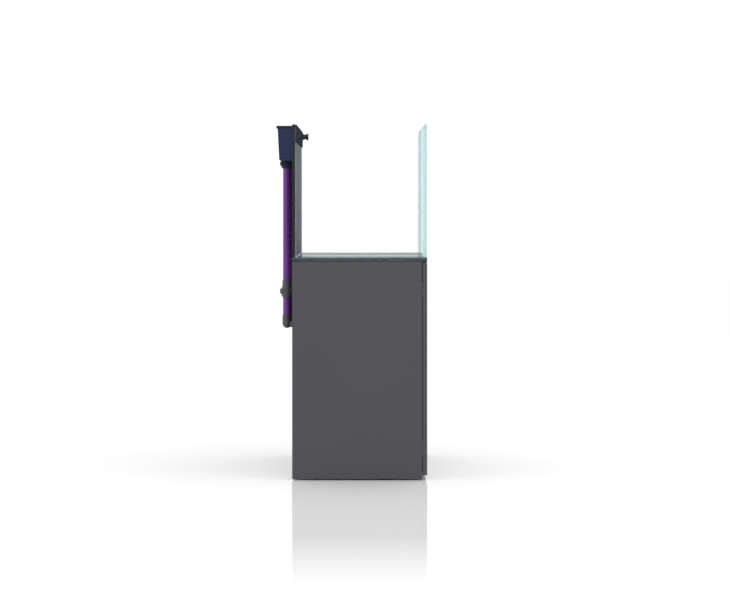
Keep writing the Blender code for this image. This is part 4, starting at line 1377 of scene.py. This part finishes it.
class AQUARIUM_OT_bulkheads(bpy.types.Operator):
    """Make the bulkheads in the box's floor, with their nuts and gaskets"""

    bl_idname = "aquarium.bulkheads"
    bl_label = "Bulkheads"
    bl_options = {"REGISTER", "UNDO"}

    def execute(self, context):
        looks = Looks(context.scene)
        plumbing = looks.plumbing
        black = looks.finish(moulded_black)
        ease = plumbing.ease
        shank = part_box("box_floor")[1].z + FIT
        for line in LINES:
            pipe_low, pipe_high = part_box(f"{line}_upper_pipe")
            socket = (pipe_high.x - pipe_low.x) / 2 + FIT
            bore = socket - FIT - PIPE_WALL
            node = f"{line}_bulkhead"
            low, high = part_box(node)
            middle = (low + high) / 2
            place = Vector((middle.x, middle.y, 0))
            flange = (high.x - low.x) / 2
            body = flange - FLANGE_LIP
            nut_low, nut_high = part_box(f"{line}_bulkhead_nut")
            profile = [(socket, high.z), (flange, high.z), (flange, shank), (body, shank), (body, nut_low.z),
                       (socket + BULKHEAD_LIP, low.z), (socket, low.z),
                       (socket, pipe_high.z + FIT), (bore, pipe_high.z + FIT),
                       (bore, high.z - SOCKET_DEPTH), (socket, high.z - SOCKET_DEPTH)]
            fitting = turned(f"{node}_moulded", profile, place, ease=ease)
            stand_for(shaded(fitting), node, black)

            node = f"{line}_bulkhead_nut"
            low, high = nut_low, nut_high
            outer = (high.x - low.x) / 2
            top = high.z - plumbing.gasket
            core = outer - plumbing.rib
            hole = body + FIT
            waist = (low.z + top) / 2
            profile = [(hole, top), (core, top), (core, waist), (hole + BULKHEAD_LIP, low.z), (hole, low.z)]
            nut = turned(f"{node}_moulded", profile, place, ease=ease)
            ribbed(nut, place, waist, top, core * 0.96, plumbing.ribs, plumbing.rib)
            stand_for(shaded(nut), node, black)
            profile = [(hole, high.z), (core, high.z), (core, top + FIT), (hole, top + FIT)]
            gasket = turned(f"{line}_bulkhead_gasket", profile, place, ease=0.6 * MM)
            hand_over(shaded(gasket), looks.finish(gasket_rubber), "root")
        return {"FINISHED"}


class AQUARIUM_OT_pipes(bpy.types.Operator):
    """Cut the purple pipes, square-ended, with a light deburred edge"""

    bl_idname = "aquarium.pipes"
    bl_label = "Pipes"
    bl_options = {"REGISTER", "UNDO"}

    def execute(self, context):
        looks = Looks(context.scene)
        for line in LINES:
            for level in ("upper", "lower"):
                node = f"{line}_{level}_pipe"
                low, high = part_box(node)
                middle = (low + high) / 2
                outer = (high.x - low.x) / 2
                profile = [(outer - PIPE_WALL, high.z), (outer, high.z), (outer, low.z),
                           (outer - PIPE_WALL, low.z)]
                pipe = turned(f"{node}_cut", profile, (middle.x, middle.y, 0), ease=0.5 * MM)
                stand_for(shaded(pipe), node, looks.finish(extruded_pipe))
        return {"FINISHED"}


class AQUARIUM_OT_unions(bpy.types.Operator):
    """Make the pipe unions: a collared body, a ribbed nut and a flanged tail"""

    bl_idname = "aquarium.unions"
    bl_label = "Pipe unions"
    bl_options = {"REGISTER", "UNDO"}

    def execute(self, context):
        looks = Looks(context.scene)
        plumbing = looks.plumbing
        grey = looks.finish(moulded_fitting)
        ease = plumbing.ease
        for line in LINES:
            pipe_low, pipe_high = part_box(f"{line}_upper_pipe")
            socket = (pipe_high.x - pipe_low.x) / 2 + FIT
            bore = socket - FIT - PIPE_WALL
            node = f"{line}_union_body"
            low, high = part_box(node)
            middle = (low + high) / 2
            place = Vector((middle.x, middle.y, 0))
            thread = (high.x - low.x) / 2
            nut_low, nut_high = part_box(f"{line}_union_nut")
            collar = thread - UNION_LIP
            stop = pipe_low.z - FIT
            bead = UNION_BEAD
            profile = [(socket, high.z), (collar - 1.6 * MM, high.z),
                       (collar - 0.4 * MM, high.z - bead * 2.4), (collar, nut_high.z + SOCKET_DEPTH / 2),
                       (thread, nut_high.z + FIT), (thread, low.z), (bore, low.z), (bore, stop),
                       (socket, stop)]
            stand_for(shaded(turned(f"{node}_moulded", profile, place, ease=ease)), node, grey)

            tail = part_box(f"{line}_union_tail")
            flange_low = tail[1].z - UNION_FLANGE + FIT
            end, seat = tail[0].z, tail[0].z + SOCKET_DEPTH
            wide = (tail[1].x - tail[0].x) / 2
            profile = [(bore, tail[1].z), (wide, tail[1].z), (wide, flange_low), (collar, flange_low),
                       (collar, end + 2 * bead), (collar - 0.8 * MM, end + 1.6 * bead),
                       (collar - 0.8 * MM, end), (socket, end), (socket, seat), (bore, seat)]
            stand_for(shaded(turned(f"{line}_union_tail_moulded", profile, place, ease=ease)),
                      f"{line}_union_tail", grey)

            node = f"{line}_union_nut"
            outer = (nut_high.x - nut_low.x) / 2
            core = outer - plumbing.rib
            hole, ledge = thread + FIT, flange_low - FIT
            slope = UNION_SLOPE
            skirt, grips = collar + UNION_SKIRT_WALL, nut_low.z + UNION_SKIRT
            profile = [(hole, nut_high.z), (core - slope, nut_high.z), (core, nut_high.z - slope),
                       (core, grips + slope), (skirt, grips - slope), (skirt, nut_low.z),
                       (collar + FIT, nut_low.z), (collar + FIT, ledge), (hole, ledge)]
            nut = turned(f"{node}_moulded", profile, place, ease=ease)
            ribbed(nut, place, grips + slope, nut_high.z - slope, core * 0.96, plumbing.ribs, plumbing.rib)
            stand_for(shaded(nut), node, grey)
        return {"FINISHED"}


class AQUARIUM_OT_elbows(bpy.types.Operator):
    """Mould the elbows that take the pipes into the cabinet's back"""

    bl_idname = "aquarium.elbows"
    bl_label = "Elbows"
    bl_options = {"REGISTER", "UNDO"}

    def execute(self, context):
        looks = Looks(context.scene)
        ease = looks.plumbing.ease
        for line in LINES:
            node = f"{line}_elbow"
            low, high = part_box(node)
            pipe_low, pipe_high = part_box(f"{line}_lower_pipe")
            pipe = (pipe_high.x - pipe_low.x) / 2
            bore = pipe - PIPE_WALL
            outer = (high.x - low.x) / 2
            place = Vector(((low.x + high.x) / 2, (pipe_low.y + pipe_high.y) / 2, low.z + outer))
            top = high.z - place.z
            stop = pipe_low.z - FIT - place.z
            shell = [(0, top), (outer - ELBOW_TAPER, top), (outer, top - ELBOW_LEAD)]
            body = turned(f"{node}_moulded", shell + self.bowl(outer), place, closed=False, ease=ease)
            reach = place.y - low.y
            spigot = round_edges(drum("spigot", place - Y * reach / 2, ELBOW_SPIGOT_RADIUS, reach, Y), ease)
            collar_reach = outer + ELBOW_COLLAR
            collar = drum("collar", place - Y * collar_reach / 2, ELBOW_SPIGOT_RADIUS + ELBOW_COLLAR,
                          collar_reach, Y)
            for piece in (spigot, round_edges(collar, ease)):
                apply_modifier(body, "BOOLEAN", operation="UNION", solver="EXACT", object=piece)
                bpy.data.objects.remove(piece)
            hollow = [(0, 2 * top), (pipe + FIT, 2 * top), (pipe + FIT, stop), (bore, stop)]
            carve(
                body,
                turned("hollow", hollow + self.bowl(bore), place, closed=False),
                drum("way", place - Y * reach, ELBOW_SPIGOT_RADIUS - PIPE_WALL, 2 * reach, Y),
            )
            stand_for(shaded(body), node, looks.finish(moulded_fitting))
        return {"FINISHED"}

    def bowl(self, radius):
        """The quarter circle that closes a round bottom."""
        angles = [math.pi / 2 * step / BEND_STEPS for step in range(BEND_STEPS)]
        return [(radius * math.cos(a), -radius * math.sin(a)) for a in angles] + [(0, -radius)]


class AQUARIUM_OT_return_outlet(bpy.types.Operator):
    """Make the return's riser, its collar through the rear pane, and the flared nozzle"""

    bl_idname = "aquarium.return_outlet"
    bl_label = "Return outlet"
    bl_options = {"REGISTER", "UNDO"}

    def execute(self, context):
        looks = Looks(context.scene)
        ease = looks.plumbing.ease
        low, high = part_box("return_riser")
        middle = (low + high) / 2
        radius = (high.x - low.x) / 2
        y_pipe = high.y - radius
        axis_z = high.z - radius
        bend = radius + RISER_THROAT
        start = axis_z - bend
        glass_low, glass_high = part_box("rear_pane")
        ring = ring_of(radius, (middle.x, y_pipe, low.z), Z)
        pull_ring((0, 0, start - low.z))
        bpy.ops.mesh.spin(steps=BEND_STEPS, angle=-BEND_TURN, axis=X,
                          center=(middle.x, y_pipe - bend, start), use_auto_merge=False)
        seat = glass_high.y + FIT
        pull_ring((0, seat - (y_pipe - bend), 0))
        swell_ring(SPIGOT_RADIUS / radius, (middle.x, seat, axis_z))
        pull_ring((0, low.y - seat, 0))
        tidy(ring)
        apply_modifier(ring, "SOLIDIFY", thickness=RISER_WALL, offset=-1, use_even_offset=True)
        ring.name = ring.data.name = "return_riser_moulded"
        stand_for(shaded(round_edges(ring, ease)), "return_riser", looks.finish(moulded_fitting))

        black = looks.finish(moulded_black)
        low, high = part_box("nozzle_collar")
        outer = (high.x - low.x) / 2
        place = Vector((middle.x, high.y, axis_z))
        long = low.y - high.y  # runs forwards, so it is negative
        mouth = BALL_RADIUS + FIT
        floor = mouth - BALL_OUT
        core = outer - 0.8 * MM
        hole = SPIGOT_RADIUS + FIT
        profile = [(hole, 0), (outer, 0), (outer, 0.15 * long), (core, 0.2 * long), (core, 0.85 * long),
                   (core - 0.5 * MM, long), (mouth, long), (mouth, floor), (SPIGOT_BORE, floor),
                   (SPIGOT_BORE, 0.3 * long), (hole, 0.3 * long)]
        collar = turned("nozzle_collar_moulded", profile, place, "Y", ease=0.4 * MM)
        ribbed(collar, place, 0.83 * long, 0.22 * long, core * 0.96, COLLAR_RIBS, COLLAR_RIB, "Y")
        stand_for(shaded(collar), "nozzle_collar", black)

        low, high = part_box("return_nozzle")
        flare = (high.x - low.x) / 2
        ball_y = glass_low.y - BALL_OUT
        reach = low.y - ball_y
        first, last = math.acos(NOZZLE_BORE / BALL_RADIUS), math.acos(NOZZLE_NECK / BALL_RADIUS)
        angles = [-first + (first + last) * step / BEND_STEPS for step in range(BEND_STEPS + 1)]
        profile = [(BALL_RADIUS * math.cos(a), -BALL_RADIUS * math.sin(a)) for a in angles]
        profile += [(NOZZLE_NECK, 0.45 * reach), (0.95 * flare, 0.58 * reach), (flare, 0.68 * reach),
                    (flare, 0.94 * reach), (0.96 * flare, reach), (0.84 * flare, reach),
                    (0.6 * flare, 0.75 * reach), (NOZZLE_BORE, 0.43 * reach)]
        nozzle = turned("return_nozzle_moulded", profile, (middle.x, ball_y, axis_z), "Y", ease=0.5 * MM)
        stand_for(shaded(nozzle), "return_nozzle", black)
        return {"FINISHED"}


# ---- panel and running --------------------------------------------------------------------
PIECE_OPERATORS = (
    AQUARIUM_OT_boards,
    AQUARIUM_OT_doors,
    AQUARIUM_OT_hinges,
    AQUARIUM_OT_latch,
    AQUARIUM_OT_feet,
    AQUARIUM_OT_mat,
    AQUARIUM_OT_panes,
    AQUARIUM_OT_silicone,
    AQUARIUM_OT_overflow_box,
    AQUARIUM_OT_lid,
    AQUARIUM_OT_weir_comb,
    AQUARIUM_OT_bulkheads,
    AQUARIUM_OT_pipes,
    AQUARIUM_OT_unions,
    AQUARIUM_OT_elbows,
    AQUARIUM_OT_return_outlet,
)
GROUPS = {
    "aquarium_cabinet": CabinetLooks,
    "aquarium_glass": GlassLooks,
    "aquarium_overflow": OverflowLooks,
    "aquarium_plumbing": PlumbingLooks,
    "aquarium_stage": StageLooks,
}


class AQUARIUM_PT_pieces(bpy.types.Panel):
    """Lists the operators in the order they are run, and the settings."""

    bl_label = "Rimless aquarium"
    bl_idname = "AQUARIUM_PT_pieces"
    bl_space_type = "VIEW_3D"
    bl_region_type = "UI"
    bl_category = "Aquarium"

    def draw(self, context):
        for group, kind in GROUPS.items():
            part = self.layout.box()
            for name in kind.__annotations__:
                part.prop(getattr(context.scene, group), name)
        for operator in (AQUARIUM_OT_stage, *PIECE_OPERATORS):
            self.layout.operator(operator.bl_idname)


CLASSES = (*GROUPS.values(), AQUARIUM_OT_stage, *PIECE_OPERATORS, AQUARIUM_PT_pieces)


def register():
    for kind in CLASSES:
        bpy.utils.register_class(kind)
    for name, kind in GROUPS.items():
        setattr(bpy.types.Scene, name, PointerProperty(type=kind))


def unregister():
    for name in GROUPS:
        delattr(bpy.types.Scene, name)
    for kind in reversed(CLASSES):
        bpy.utils.unregister_class(kind)


def main():
    register()
    bpy.ops.aquarium.stage()
    for operator in PIECE_OPERATORS:
        group, name = operator.bl_idname.split(".")
        getattr(getattr(bpy.ops, group), name)()


if __name__ == "__main__":
    main()
